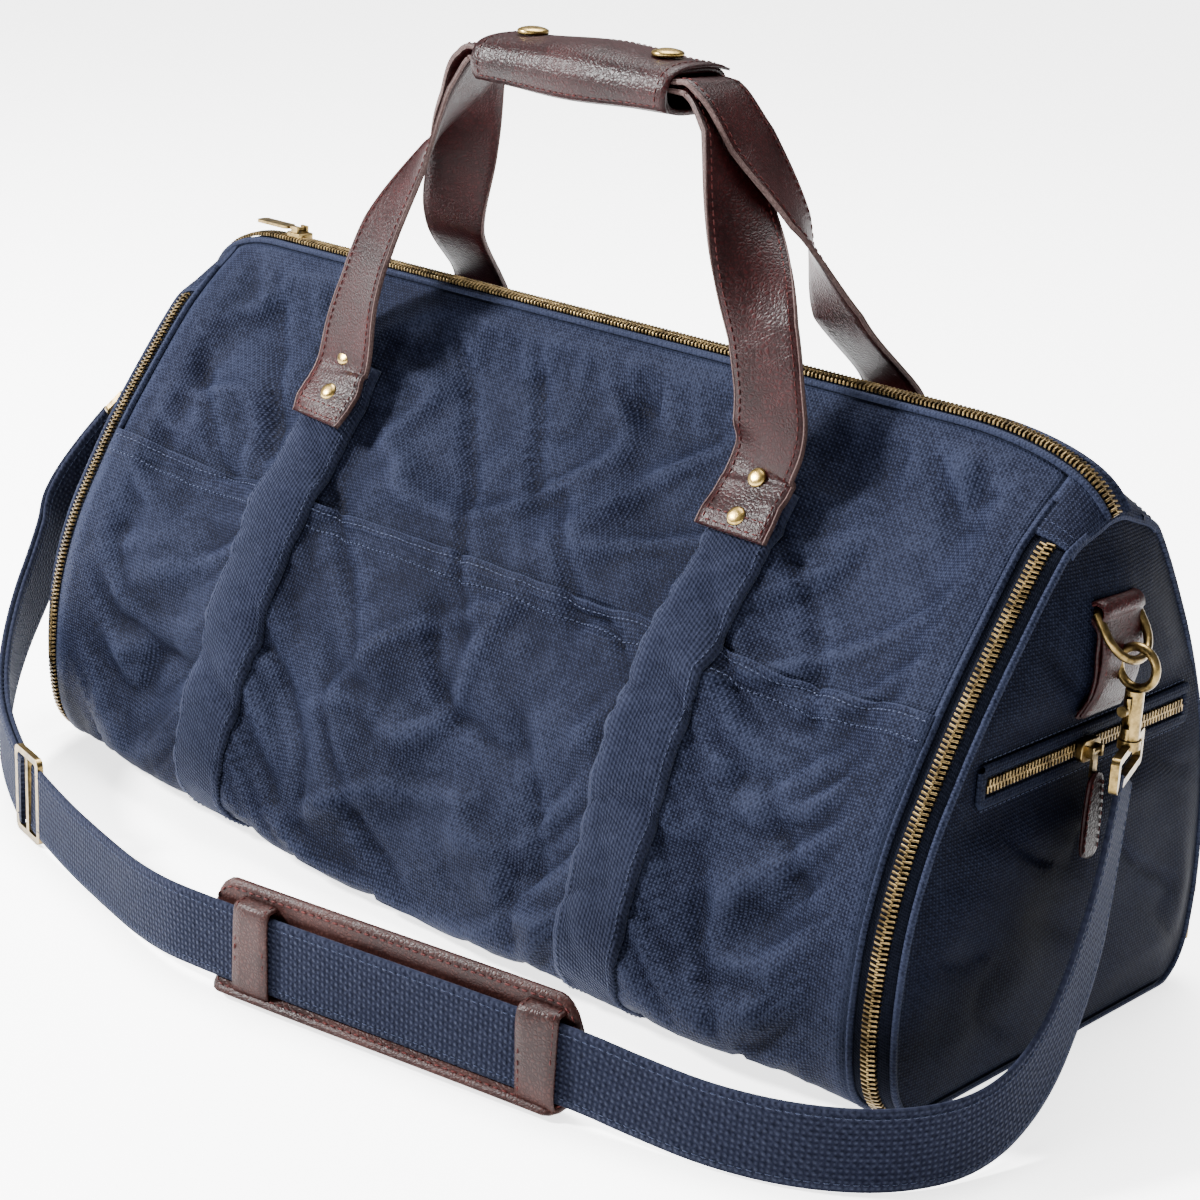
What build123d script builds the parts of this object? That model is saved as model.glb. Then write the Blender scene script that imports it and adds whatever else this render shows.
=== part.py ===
from build123d import *
from math import cos, radians, sin
import os

# Canvas weekender bag with leather handles and a webbing shoulder strap, in millimetres.
# +X is the right end, -Y the front with the slip pocket, +Z up. The origin is on the ground
# under the middle of the bag.

# Driving dimensions
HALF_LENGTH = 300.0
HALF_DEPTH = 115.0
LIFT = 4.6
SHOULDER_Z = 112.0
HAUNCH_Y = 68.0
HAUNCH_Z = 214.0
RIDGE_Y = 8.0
RIDGE_Z = 294.0
CORNER_R = 32.0
END_R = 28.0
CANVAS = 3.0
WEBBING_WIDTH = 38.0
WEBBING_THICK = 2.4
LEATHER = 2.6
TAB_WIDTH = 40.0
STRAP_X = 140.0
POCKET_TOP = 176.0
ZIP_WIDTH = 5.0
TAPE_WIDTH = 9.0
TEETH_PROUD = 1.6
PANEL_END = 270.0
SIDE_ZIP_TOP = 240.0
RIVET_R = 1.6
GAP = 0.3

# Arch profile of the body, seen along X: front foot, shoulder, haunch, ridge and back again
ARCH_POINTS = [
    (-HALF_DEPTH, LIFT),
    (-HALF_DEPTH, SHOULDER_Z),
    (RIDGE_Y - HAUNCH_Y, HAUNCH_Z),
    (RIDGE_Y, RIDGE_Z),
    (RIDGE_Y + HAUNCH_Y, HAUNCH_Z),
    (HALF_DEPTH, SHOULDER_Z),
    (HALF_DEPTH, LIFT),
]
ARCH_RADII = [CORNER_R, 90.0, 60.0, 32.0, 60.0, 90.0, CORNER_R]

# Direction up the straight upper slope of the arch, front side, and its outward normal
SLOPE = Vector(0, HAUNCH_Y, RIDGE_Z - HAUNCH_Z).normalized()
HAUNCH = Vector(0, RIDGE_Y - HAUNCH_Y, HAUNCH_Z)

os.makedirs("parts", exist_ok=True)


def save(piece, name):
    """Label one finished sub-part and write its STEP file."""
    piece.part.label = name
    export_step(piece.part, f"parts/{name}.step")


def prism(inset, half_length):
    """The arch profile drawn in by inset, as a bar of the given half length along X."""
    with BuildPart() as bar:
        with BuildSketch(Plane.YZ):
            with BuildLine():
                FilletPolyline(*ARCH_POINTS, radius=ARCH_RADII, close=True)
            make_face()
            if inset != 0:
                offset(amount=-inset, kind=Kind.INTERSECTION)
        extrude(amount=half_length, both=True)
    return bar.part


def form(inset):
    """The closed outer form of the bag, drawn in by inset on every side."""
    with BuildPart() as body:
        add(prism(inset, HALF_LENGTH - inset))
        ends = body.faces().group_by(Axis.X)
        fillet(ends[0].edges() + ends[-1].edges(), radius=END_R - inset)
    return body.part


def box(low, high):
    """A plain block between two corners, for trimming."""
    size = [high[i] - low[i] for i in range(3)]
    centre = [(high[i] + low[i]) / 2 for i in range(3)]
    with BuildPart() as block:
        with Locations(tuple(centre)):
            Box(*size)
    return block.part


FAR = 500.0
FORM_LINING_IN = form(7.2)
FORM_LINING = form(6.0)
FORM_IN = form(CANVAS)
FORM_TAPE_IN = form(1.5)
FORM_SKIN = form(0)
FORM_TEETH = form(-TEETH_PROUD)
FORM_POCKET = form(-2.2)
FORM_WEBBING = form(-2.2 - WEBBING_THICK)
FORM_LEATHER = form(-2.2 - WEBBING_THICK - LEATHER)


def layer(outer, inner, low, high):
    """The part of the layer between two forms that lies inside a block."""
    with BuildPart() as piece:
        add(outer)
        add(inner, mode=Mode.SUBTRACT)
        add(box(low, high), mode=Mode.INTERSECT)
    return piece


def slope_point(x, distance, height, front=True):
    """A point on the upper slope: distance up from the haunch corner, height off the canvas."""
    normal = Vector(0, -SLOPE.Z, SLOPE.Y)
    spot = HAUNCH + SLOPE * distance + normal * height
    y = spot.Y if front else 2 * RIDGE_Y - spot.Y
    return Vector(x, y, spot.Z)


def slope_normal(front=True):
    """Outward normal of the upper slope."""
    return Vector(0, -SLOPE.Z if front else SLOPE.Z, SLOPE.Y)


# Rivets: two on each of the four leather tabs, in line up the slope
RIVET_STEPS = (14.0, 34.0)
RIVET_SPOTS = [
    (x, step, front) for front in (True, False) for x in (-STRAP_X, STRAP_X) for step in RIVET_STEPS
]


def pierce(piece, spots):
    """Cut the rivet holes that pass through a layer."""
    with BuildPart() as holed:
        add(piece.part)
        for x, step, front in spots:
            with Locations(Plane(slope_point(x, step, 0, front), z_dir=slope_normal(front))):
                Cylinder(RIVET_R + 0.06, 40, mode=Mode.SUBTRACT)
    return holed


front_spots = [spot for spot in RIVET_SPOTS if spot[2]]
back_spots = [spot for spot in RIVET_SPOTS if not spot[2]]

# Body panels
TOP_BAND = ZIP_WIDTH + TAPE_WIDTH
FLAT_BASE = HALF_DEPTH - CORNER_R

with BuildPart() as front_body:
    add(layer(FORM_SKIN, FORM_IN, (-PANEL_END, -FAR, 0), (PANEL_END, RIDGE_Y - TOP_BAND, FAR)).part)
    add(box((-FAR, -FLAT_BASE, 0), (FAR, FAR, CORNER_R)), mode=Mode.SUBTRACT)
front_panel = pierce(front_body, front_spots)
save(front_panel, "front_panel")

with BuildPart() as back_body:
    add(layer(FORM_SKIN, FORM_IN, (-PANEL_END, RIDGE_Y + TOP_BAND, 0), (PANEL_END, FAR, FAR)).part)
    add(box((-FAR, -FAR, 0), (FAR, FLAT_BASE, CORNER_R)), mode=Mode.SUBTRACT)
back_panel = pierce(back_body, back_spots)
save(back_panel, "back_panel")

with BuildPart() as base_panel:
    with BuildSketch(Plane.XY):
        Rectangle(2 * PANEL_END, 2 * FLAT_BASE)
    extrude(amount=LIFT + CANVAS)
    with BuildSketch(Plane.XY):
        with Locations((-STRAP_X, 0), (STRAP_X, 0)):
            Rectangle(WEBBING_WIDTH + 2 * GAP, 2 * FLAT_BASE)
    extrude(amount=LIFT, mode=Mode.SUBTRACT)
save(base_panel, "base_panel")

front_pocket = layer(
    FORM_POCKET, FORM_SKIN, (-PANEL_END, -FAR, LIFT + 6), (PANEL_END, 0, POCKET_TOP)
)
save(front_pocket, "front_pocket")

with BuildPart() as lining:
    add(FORM_LINING)
    add(FORM_LINING_IN, mode=Mode.SUBTRACT)
    with Locations((0, RIDGE_Y, RIDGE_Z - 10)):
        Box(500, 26, 40, mode=Mode.SUBTRACT)
save(lining, "lining")

with BuildPart() as base_board:
    with BuildSketch(Plane.XY.offset(LIFT + 7.2 + GAP)):
        RectangleRounded(530, 160, 12)
    extrude(amount=2.5)
save(base_board, "base_board")

# Webbing bands: each runs from under one leather tab down the front, under the base and up the back
TAB_LOW_Z = 211.0
TAB_HIGH = 42.0

for side, name in ((-1, "webbing_left"), (1, "webbing_right")):
    centre = side * STRAP_X
    band = layer(
        FORM_WEBBING,
        FORM_POCKET,
        (centre - WEBBING_WIDTH / 2, -FAR, -1),
        (centre + WEBBING_WIDTH / 2, FAR, slope_point(0, TAB_HIGH - 4, 0).Z),
    )
    webbing = pierce(band, [spot for spot in RIVET_SPOTS if spot[0] == centre])
    save(webbing, name)

# Leather tabs, riveted on over the ends of the webbing
for front, name in ((True, "handle_tabs_front"), (False, "handle_tabs_back")):
    with BuildPart() as tab_pair:
        for centre in (-STRAP_X, STRAP_X):
            low_y, high_y = (-FAR, RIDGE_Y) if front else (RIDGE_Y, FAR)
            add(
                layer(
                    FORM_LEATHER,
                    FORM_WEBBING,
                    (centre - TAB_WIDTH / 2, low_y, TAB_LOW_Z),
                    (centre + TAB_WIDTH / 2, high_y, slope_point(0, TAB_HIGH, 0).Z),
                ).part
            )
    tabs = pierce(tab_pair, [spot for spot in RIVET_SPOTS if spot[2] == front])
    save(tabs, name)

with BuildPart() as handle_rivets:
    for x, step, front in RIVET_SPOTS:
        top = 2.2 + WEBBING_THICK + LEATHER
        seat = Plane(slope_point(x, step, top, front), z_dir=slope_normal(front))
        with BuildSketch(seat):
            Circle(4.8)
        cap = extrude(amount=1.6)
        fillet(cap.edges().filter_by(GeomType.CIRCLE).group_by(Axis.Z)[-1], 0.7)
        with BuildSketch(seat):
            Circle(RIVET_R)
        extrude(amount=-(top + CANVAS))
        burr = Plane(slope_point(x, step, -CANVAS, front), z_dir=slope_normal(front))
        with BuildSketch(burr):
            Circle(4.2)
        extrude(amount=-1.2)
save(handle_rivets, "handle_rivets")

# Top zip: two tapes and two rows of teeth along the ridge
with BuildPart() as top_zip_tapes:
    for low_y, high_y in ((-TOP_BAND, -ZIP_WIDTH), (ZIP_WIDTH, TOP_BAND)):
        add(
            layer(
                FORM_SKIN,
                FORM_TAPE_IN,
                (-PANEL_END, RIDGE_Y + low_y, 150),
                (PANEL_END, RIDGE_Y + high_y, FAR),
            ).part
        )
save(top_zip_tapes, "top_zip_tapes")

for low_y, high_y, name in (
    (-ZIP_WIDTH, -0.1, "top_zip_teeth_front"),
    (0.1, ZIP_WIDTH, "top_zip_teeth_back"),
):
    top_teeth = layer(
        FORM_TEETH,
        FORM_TAPE_IN,
        (-PANEL_END, RIDGE_Y + low_y, 150),
        (PANEL_END, RIDGE_Y + high_y, FAR),
    )
    save(top_teeth, name)

# Ends: panel, canvas cap over the top corner, and the zip that runs round the other three edges
TEETH_FROM = 2.8
TEETH_TO = 7.9
BAND_TO = 18.4
PRISM_TEETH_OUT = prism(TEETH_FROM, FAR)
PRISM_TEETH_IN = prism(TEETH_TO, FAR)
PRISM_BAND_IN = prism(BAND_TO, FAR)

for side, word in ((1, "right"), (-1, "left")):
    near, far = sorted((side * 200.0, side * FAR))
    edge, out = sorted((side * PANEL_END, side * FAR))

    with BuildPart() as end_panel:
        add(layer(FORM_SKIN, FORM_IN, (near, -FAR, 0), (far, FAR, FAR)).part)
        add(PRISM_BAND_IN, mode=Mode.INTERSECT)
    save(end_panel, f"end_panel_{word}")

    with BuildPart() as end_cap:
        add(layer(FORM_SKIN, FORM_IN, (edge, -FAR, SIDE_ZIP_TOP), (out, FAR, FAR)).part)
        add(PRISM_BAND_IN, mode=Mode.SUBTRACT)
    save(end_cap, f"end_cap_{word}")

    with BuildPart() as outer_tape:
        add(layer(FORM_SKIN, FORM_TAPE_IN, (edge, -FAR, 0), (out, FAR, SIDE_ZIP_TOP)).part)
        add(PRISM_TEETH_OUT, mode=Mode.SUBTRACT)
    with BuildPart() as inner_tape:
        add(layer(FORM_SKIN, FORM_TAPE_IN, (edge, -FAR, 0), (out, FAR, SIDE_ZIP_TOP)).part)
        add(PRISM_TEETH_IN, mode=Mode.INTERSECT)
        add(PRISM_BAND_IN, mode=Mode.SUBTRACT)
    with BuildPart() as side_zip_tapes:
        add(outer_tape.part)
        add(inner_tape.part)
    save(side_zip_tapes, f"side_zip_tapes_{word}")

    with BuildPart() as side_zip_teeth:
        add(layer(FORM_TEETH, FORM_TAPE_IN, (edge, -FAR, 0), (out, FAR, SIDE_ZIP_TOP)).part)
        add(PRISM_TEETH_OUT, mode=Mode.INTERSECT)
        add(PRISM_TEETH_IN, mode=Mode.SUBTRACT)
    save(side_zip_teeth, f"side_zip_teeth_{word}")


# Zip sliders: a body straddling the teeth and a pull on a hinge barrel
SLIDER_LONG = 14.0
SLIDER_WIDE = 10.0
SLIDER_TALL = 3.6
BARREL_R = 1.3
PULL_LONG = 26.0
PULL_WIDE = 8.0
PULL_THICK = 1.6


def zip_slider(seat, name, lug_turn=0):
    """Slider on a seat plane whose x axis runs along the zip and z axis points off the bag."""
    with BuildPart(seat) as slider:
        with BuildSketch(seat.offset(TEETH_PROUD + GAP)):
            RectangleRounded(SLIDER_LONG, SLIDER_WIDE, 3)
        extrude(amount=SLIDER_TALL)
        fillet(slider.edges().group_by(SortBy.LENGTH)[-1], 0.6)
    with BuildPart() as saddled:
        add(slider.part)
        with BuildSketch(seat.offset(TEETH_PROUD + GAP + SLIDER_TALL)):
            with Locations((0, 3.4), (0, -3.4)):
                Rectangle(5, 1.4)
        lugs = extrude(amount=3.4, mode=Mode.PRIVATE)
        add(lugs.rotate(Axis(seat.origin, seat.z_dir), lug_turn))
    save(saddled, name)


def zip_pull(seat, name, long, wide, thick):
    """Pull on the slider's barrel, lying along minus x of the seat plane."""
    height = TEETH_PROUD + GAP + SLIDER_TALL + 0.4 + BARREL_R
    with BuildPart() as pull:
        with BuildSketch(Plane(seat.offset(height).origin, x_dir=seat.x_dir, z_dir=seat.y_dir)):
            Circle(BARREL_R)
        extrude(amount=2.4, both=True)
        with BuildSketch(seat.offset(height - thick / 2)):
            with Locations((-4.5, 0)):
                Rectangle(9, 3.4)
            with Locations((-7 - long / 2, 0)):
                RectangleRounded(long, wide, 2.6)
        extrude(amount=thick)
    save(pull, name)


CREST_Z = RIDGE_Z - ARCH_RADII[3] * (1 / SLOPE.Y - 1)
TOP_SLIDER_X = -236.0
top_seat = Plane((TOP_SLIDER_X, RIDGE_Y, CREST_Z), x_dir=(1, 0, 0), z_dir=(0, 0, 1))
zip_slider(top_seat, "top_zip_slider")
zip_pull(top_seat, "top_zip_pull", PULL_LONG, PULL_WIDE, PULL_THICK)

TEETH_ANGLE = radians(35)
SIDE_SLIDER_Z = 46.0
for side, word in ((1, "right"), (-1, "left")):
    out_dir = Vector(side * sin(TEETH_ANGLE), cos(TEETH_ANGLE), 0)
    hub = Vector(side * (HALF_LENGTH - END_R), HALF_DEPTH - END_R, SIDE_SLIDER_Z)
    side_seat = Plane(hub + out_dir * END_R, x_dir=(0, 0, 1), z_dir=out_dir)
    zip_slider(side_seat, f"side_zip_slider_{word}")
    zip_pull(side_seat, f"side_zip_pull_{word}", PULL_LONG - 5, PULL_WIDE, PULL_THICK)

# Zipped pocket in the right end panel
POCKET_ZIP_Z = 150.0
POCKET_ZIP_HALF = 76.0
WELT_THICK = 1.4
END_FACE = Plane((HALF_LENGTH, 0, POCKET_ZIP_Z), x_dir=(0, 1, 0), z_dir=(1, 0, 0))

with BuildPart() as pocket_welt:
    with BuildSketch(END_FACE):
        Rectangle(2 * POCKET_ZIP_HALF + 10, 26)
        Rectangle(2 * POCKET_ZIP_HALF, 13, mode=Mode.SUBTRACT)
    extrude(amount=WELT_THICK)
save(pocket_welt, "pocket_welt")

with BuildPart() as pocket_zip_tape:
    with BuildSketch(END_FACE):
        Rectangle(2 * POCKET_ZIP_HALF - 0.4, 12.6)
    extrude(amount=0.8)
save(pocket_zip_tape, "pocket_zip_tape")

with BuildPart() as pocket_zip_teeth:
    with BuildSketch(END_FACE.offset(0.8)):
        Rectangle(2 * POCKET_ZIP_HALF - 2, 5.6)
    extrude(amount=TEETH_PROUD - 0.8)
save(pocket_zip_teeth, "pocket_zip_teeth")

with BuildPart() as pocket_pouch:
    with BuildSketch(Plane.YZ.offset(HALF_LENGTH - 5.7)):
        with Locations((0, POCKET_ZIP_Z - 45)):
            RectangleRounded(144, 96, 10)
    extrude(amount=2.0)
save(pocket_pouch, "pocket_pouch")

POCKET_SLIDER_Y = -5.0
pocket_seat = Plane(
    (HALF_LENGTH, POCKET_SLIDER_Y, POCKET_ZIP_Z), x_dir=(0, 1, 0), z_dir=(1, 0, 0)
)
zip_slider(pocket_seat, "pocket_zip_slider", lug_turn=90)
pull_seat = Plane(pocket_seat.origin, x_dir=(0, 0, 1), z_dir=(1, 0, 0))
PULL_HEIGHT = TEETH_PROUD + GAP + SLIDER_TALL + 0.4 + BARREL_R
with BuildPart() as pocket_zip_pull:
    with BuildSketch(Plane(pull_seat.offset(PULL_HEIGHT).origin, x_dir=(0, 0, 1), z_dir=(0, 1, 0))):
        Circle(BARREL_R)
    extrude(amount=2.4, both=True)
    with BuildSketch(pull_seat.offset(PULL_HEIGHT - 0.8)):
        with Locations((-6, 0)):
            Rectangle(12, 3.4)
    extrude(amount=1.6)
save(pocket_zip_pull, "pocket_zip_pull")

with BuildPart() as pocket_pull_leather:
    with BuildSketch(pull_seat.offset(PULL_HEIGHT + 0.8)):
        with Locations((-29, 0)):
            RectangleRounded(40, 13, 5)
    extrude(amount=2.4)
save(pocket_pull_leather, "pocket_pull_leather")


# Handles: each is one leather strap that rises from its two tabs, turns a quarter and runs through
# the grip. The stretch next to the tabs is the part that bends.
HANDLE_THICK = 3.0
GRIP_Y = -9.0
GRIP_Z = 400.0
GRIP_HALF = 62.0
STRAP_IN_GRIP = 36.0
REACH = {True: -4.0, False: 4.0}


def leg_sections(side, front, top_z):
    """Centre, direction along the strap and width direction at stations up one handle leg."""
    foot = slope_point(side * STRAP_X, TAB_HIGH + 0.5, 5.6, front)
    lean = 1 if front else -1
    hip_y = -36 if front else 46
    reach = REACH[front]
    return [
        (foot, (0, SLOPE.Y * lean, SLOPE.Z), (1, 0, 0)),
        (Vector(side * 136, hip_y, 276), (-side * 0.12, 0, 1), (1, 0, 0)),
        (Vector(side * 126, hip_y + 3 * lean, 304), (-side * 0.34, 0, 1), (1, -0.15 * side, 0)),
        (Vector(side * (104 + reach), GRIP_Y - 14 * lean, 346), (-side * 0.5, 0, 1), (1, -0.6 * side, 0)),
        (Vector(side * (84 + reach), GRIP_Y - 3 * lean, top_z - 19), (-side * 0.5, 0, 1), (0.3, -side, 0)),
        (Vector(side * (75 + reach), GRIP_Y, top_z - 4), (-side, 0, 1), (0, -side, 0)),
        (Vector(side * (68 + reach), GRIP_Y, top_z), (-side, 0, 0), (0, -side, 0)),
    ]


def leg(sections):
    """Flat strap lofted through its stations."""
    with BuildPart() as strap:
        for centre, along, across in sections:
            tangent = Vector(*along).normalized()
            width_dir = Vector(*across)
            width_dir = (width_dir - tangent * width_dir.dot(tangent)).normalized()
            with BuildSketch(Plane(centre, x_dir=width_dir, z_dir=tangent)):
                Rectangle(STRAP_IN_GRIP, HANDLE_THICK)
        loft(ruled=True)
    return strap.part


FLEX_STATIONS = 2
for front, word, level in ((True, "front", GRIP_Z), (False, "back", GRIP_Z + HANDLE_THICK + GAP)):
    with BuildPart() as handle:
        for side in (-1, 1):
            add(leg(leg_sections(side, front, level)[FLEX_STATIONS - 1 :]))
        with Locations((0, GRIP_Y, level)):
            Box(2 * (69 + REACH[front]), STRAP_IN_GRIP, HANDLE_THICK)
    save(handle, f"handle_{word}")

    with BuildPart() as handle_flex:
        for side in (-1, 1):
            add(leg(leg_sections(side, front, level)[:FLEX_STATIONS]))
    save(handle_flex, f"handle_flex_{word}")

# Leather grip wrap round both straps, its snap flap, studs and caps
WRAP_WALL = 2.4
WRAP_WIDE = 44.0
WRAP_LOW = GRIP_Z - 5.0
WRAP_HIGH = GRIP_Z + 8.6
SNAP_X = 44.0

with BuildPart() as grip_wrap:
    with BuildSketch(Plane.YZ):
        with Locations((GRIP_Y, (WRAP_LOW + WRAP_HIGH) / 2)):
            RectangleRounded(WRAP_WIDE, WRAP_HIGH - WRAP_LOW, 5)
            RectangleRounded(
                WRAP_WIDE - 2 * WRAP_WALL, WRAP_HIGH - WRAP_LOW - 2 * WRAP_WALL, 3, mode=Mode.SUBTRACT
            )
    extrude(amount=GRIP_HALF, both=True)
save(grip_wrap, "grip_wrap")

STUD_TALL = 1.4
with BuildPart() as snap_studs:
    with BuildSketch(Plane.XY.offset(WRAP_HIGH)):
        with Locations((-SNAP_X, GRIP_Y), (SNAP_X, GRIP_Y)):
            Circle(4)
    extrude(amount=STUD_TALL)
save(snap_studs, "snap_studs")

FLAP_LOW = WRAP_HIGH + STUD_TALL + GAP
with BuildPart() as grip_flap:
    with BuildSketch(Plane.XY.offset(FLAP_LOW)):
        with Locations((0, GRIP_Y)):
            RectangleRounded(2 * GRIP_HALF, WRAP_WIDE - 4, 6)
    extrude(amount=LEATHER)
save(grip_flap, "grip_flap")

with BuildPart() as snap_caps:
    with BuildSketch(Plane.XY.offset(FLAP_LOW + LEATHER)):
        with Locations((-SNAP_X, GRIP_Y), (SNAP_X, GRIP_Y)):
            Circle(7.5)
    extrude(amount=1.8)
    fillet(snap_caps.faces().sort_by(Axis.Z)[-1].edges(), 0.9)
save(snap_caps, "snap_caps")

# D-rings hang from leather tabs in the middle of each end
RING_WIRE = 2.0
RING_Z = 214.0
RING_X = HALF_LENGTH + 6.5
RING_HALF = 14.0
RING_TILT = radians(35)
TAB_HALF = 15.0

for side, word in ((1, "right"), (-1, "left")):
    with BuildPart() as d_ring_tab:
        with BuildSketch(Plane.XZ):
            with Locations((side * RING_X, RING_Z)):
                Circle(5)
            with Locations((side * (HALF_LENGTH + 2.25), RING_Z + 1)):
                Rectangle(4.5, 8)
            with Locations((side * RING_X, RING_Z)):
                Circle(RING_WIRE + 0.35, mode=Mode.SUBTRACT)
        extrude(amount=11, both=True)
        with BuildSketch(Plane.YZ.offset(side * HALF_LENGTH)):
            with Locations((0, RING_Z - 24)):
                Rectangle(2 * TAB_HALF, 44)
        extrude(amount=side * 2.5)
    save(d_ring_tab, f"d_ring_tab_{word}")

    down = Vector(side * sin(RING_TILT), 0, -cos(RING_TILT))
    ring_plane = Plane((side * RING_X, 0, RING_Z), x_dir=(0, 1, 0), z_dir=Vector(0, 1, 0).cross(down))
    with BuildPart() as d_ring:
        with BuildLine(ring_plane):
            Polyline((-RING_HALF, 10), (-RING_HALF, 0), (RING_HALF, 0), (RING_HALF, 10))
            ThreePointArc((RING_HALF, 10), (0, 10 + RING_HALF), (-RING_HALF, 10))
        with BuildSketch(Plane((side * RING_X, 0, RING_Z), x_dir=(1, 0, 0), z_dir=(0, 1, 0))):
            Circle(RING_WIRE)
        sweep(transition=Transition.ROUND)
    save(d_ring, f"d_ring_{word}")

# Swivel snap hooks, clipped on the rings. Each is drawn on a plane whose z axis points from the
# ring towards the strap; the left one is pulled forward by the strap.
LOOP_R = 9.0
LOOP_WIRE = 2.0
BOLT_R = 1.3
EYE_HALF = 21.0
EYE_TALL = 13.0
EYE_WIRE = 1.8
RING_REACH = 10 + RING_HALF

HOOK_AIM = {"right": Vector(0, 0, -1), "left": Vector(-25, -32, -44).normalized()}
STRAP_AIM = {"right": Vector(0.34, -0.94, 0), "left": Vector(-0.2, -0.98, 0)}
HOOK_START = {}
HOOK_PLANE = {}

for side, word in ((1, "right"), (-1, "left")):
    low = Vector(
        side * (RING_X + RING_REACH * sin(RING_TILT)), 0, RING_Z - RING_REACH * cos(RING_TILT)
    )
    aim = HOOK_AIM[word]
    centre = low + aim * 3.6
    across = Vector(0, 1, 0) - aim * aim.Y
    HOOK_PLANE[word] = Plane(centre, x_dir=aim.cross(across.normalized()), z_dir=aim)
    frame_plane = HOOK_PLANE[word]
    loop_plane = Plane(centre, x_dir=aim, z_dir=frame_plane.y_dir)

    with BuildPart() as hook_loop:
        with BuildSketch(Plane(centre + aim * LOOP_R, x_dir=aim, z_dir=frame_plane.x_dir)):
            Circle(LOOP_WIRE)
        revolve(axis=Axis(centre, frame_plane.y_dir), revolution_arc=360)
    with BuildPart() as hook_body:
        add(hook_loop.part)
        with BuildSketch(frame_plane.offset(LOOP_R + 1)):
            Circle(4.2)
        extrude(amount=22)
        with BuildSketch(frame_plane.offset(LOOP_R + 3)):
            with Locations((0, 4.2)):
                SlotCenterToCenter(4, 2 * (BOLT_R + 0.35), rotation=90)
        extrude(amount=15, mode=Mode.SUBTRACT)
    save(hook_body, f"hook_body_{word}")

    with BuildPart() as hook_bolt:
        with BuildSketch(frame_plane.offset(LOOP_R + 4)):
            with Locations((0, 4.2)):
                Circle(BOLT_R)
        extrude(amount=7)
        knob_plane = Plane(
            centre + aim * (LOOP_R + 9) + frame_plane.y_dir * 4.2,
            x_dir=frame_plane.x_dir,
            z_dir=frame_plane.y_dir,
        )
        with BuildSketch(knob_plane):
            Circle(1.2)
        extrude(amount=3)
        with BuildSketch(knob_plane.offset(3)):
            Circle(2.4)
        extrude(amount=1.6)
    save(hook_bolt, f"hook_bolt_{word}")

    swivel_gap = LOOP_R + 1 + 22 + 0.35
    width_dir = STRAP_AIM[word] - aim * STRAP_AIM[word].dot(aim)
    eye_plane = Plane(
        centre + aim * (swivel_gap + 2.4), x_dir=width_dir.normalized(), z_dir=aim
    )
    eye_face = Plane(
        eye_plane.origin, x_dir=eye_plane.x_dir, z_dir=eye_plane.x_dir.cross(aim)
    )
    with BuildPart() as hook_eye:
        with BuildSketch(frame_plane.offset(swivel_gap)):
            Circle(5)
        extrude(amount=4)
        with BuildSketch(eye_face):
            with Locations((0, EYE_TALL / 2 + 1)):
                RectangleRounded(2 * EYE_HALF + 2 * EYE_WIRE, EYE_TALL + 2 * EYE_WIRE, 3)
                Rectangle(2 * EYE_HALF - 2 * EYE_WIRE, EYE_TALL - 2 * EYE_WIRE, mode=Mode.SUBTRACT)
        extrude(amount=EYE_WIRE, both=True)
    save(hook_eye, f"hook_eye_{word}")
    HOOK_START[word] = eye_plane.origin + aim * (EYE_TALL + 1 + EYE_WIRE)


# Shoulder strap: flat webbing that falls from the right hook, stands on edge along the front of the
# bag, and rises doubled from the adjuster to the left hook.
ON_EDGE = WEBBING_WIDTH / 2 + 0.3
PAD_START = Vector(196, -206, 26)
PAD_END = Vector(-6, -244, 26)
ADJUSTER = Vector(-188, -208, 24)

MAIN_ROUTE = [
    HOOK_START["right"],
    Vector(328, -18, 100),
    Vector(334, -40, 62),
    Vector(340, -72, 32),
    Vector(341, -110, 20),
    Vector(328, -146, ON_EDGE),
    Vector(300, -173, ON_EDGE),
    Vector(264, -189, ON_EDGE),
    Vector(229, -198, 22),
    PAD_START,
    PAD_END,
    Vector(-50, -240, 22),
    Vector(-98, -228, ON_EDGE),
    Vector(-144, -219, 21),
    ADJUSTER + Vector(4.5, -1, 0),
]
LEFT_ROUTE = [
    ADJUSTER + Vector(-4.5, 1, 0),
    Vector(-234, -190, 27),
    Vector(-280, -162, 36),
    Vector(-320, -126, 54),
    Vector(-345, -88, 84),
    Vector(-355, -62, 118),
    HOOK_START["left"],
]


def arc_radii(route):
    """Largest arc at each corner of a route: 0.45 of the shorter run over tan of half the turn."""
    radii = []
    for before, corner, after in zip(route, route[1:], route[2:]):
        run_in = corner - before
        run_out = after - corner
        half_turn = radians(run_in.get_angle(run_out)) / 2
        radii.append(0.45 * min(run_in.length, run_out.length) * cos(half_turn) / sin(half_turn))
    return radii


def flat_strap(route, name, stations, side_step=0.0):
    """Webbing along a route, its face always upright, moved sideways by side_step."""
    radii = arc_radii(route)
    print(name, "arc radii", [round(radius) for radius in radii])
    with BuildLine() as line:
        FilletPolyline(*route, radius=radii)
    path = line.wire()
    with BuildPart() as strap:
        for step in range(stations + 1):
            tangent = path.tangent_at(step / stations)
            flat = Vector(-tangent.Y, tangent.X, 0).normalized()
            spot = path.position_at(step / stations) + flat * side_step
            with BuildSketch(Plane(spot, x_dir=flat, z_dir=tangent)):
                Rectangle(WEBBING_THICK, WEBBING_WIDTH)
        loft(ruled=True)
    section = WEBBING_THICK * WEBBING_WIDTH
    print(name, "length", round(path.length), "volume ratio", strap.part.volume / section / path.length)
    save(strap, name)


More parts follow.
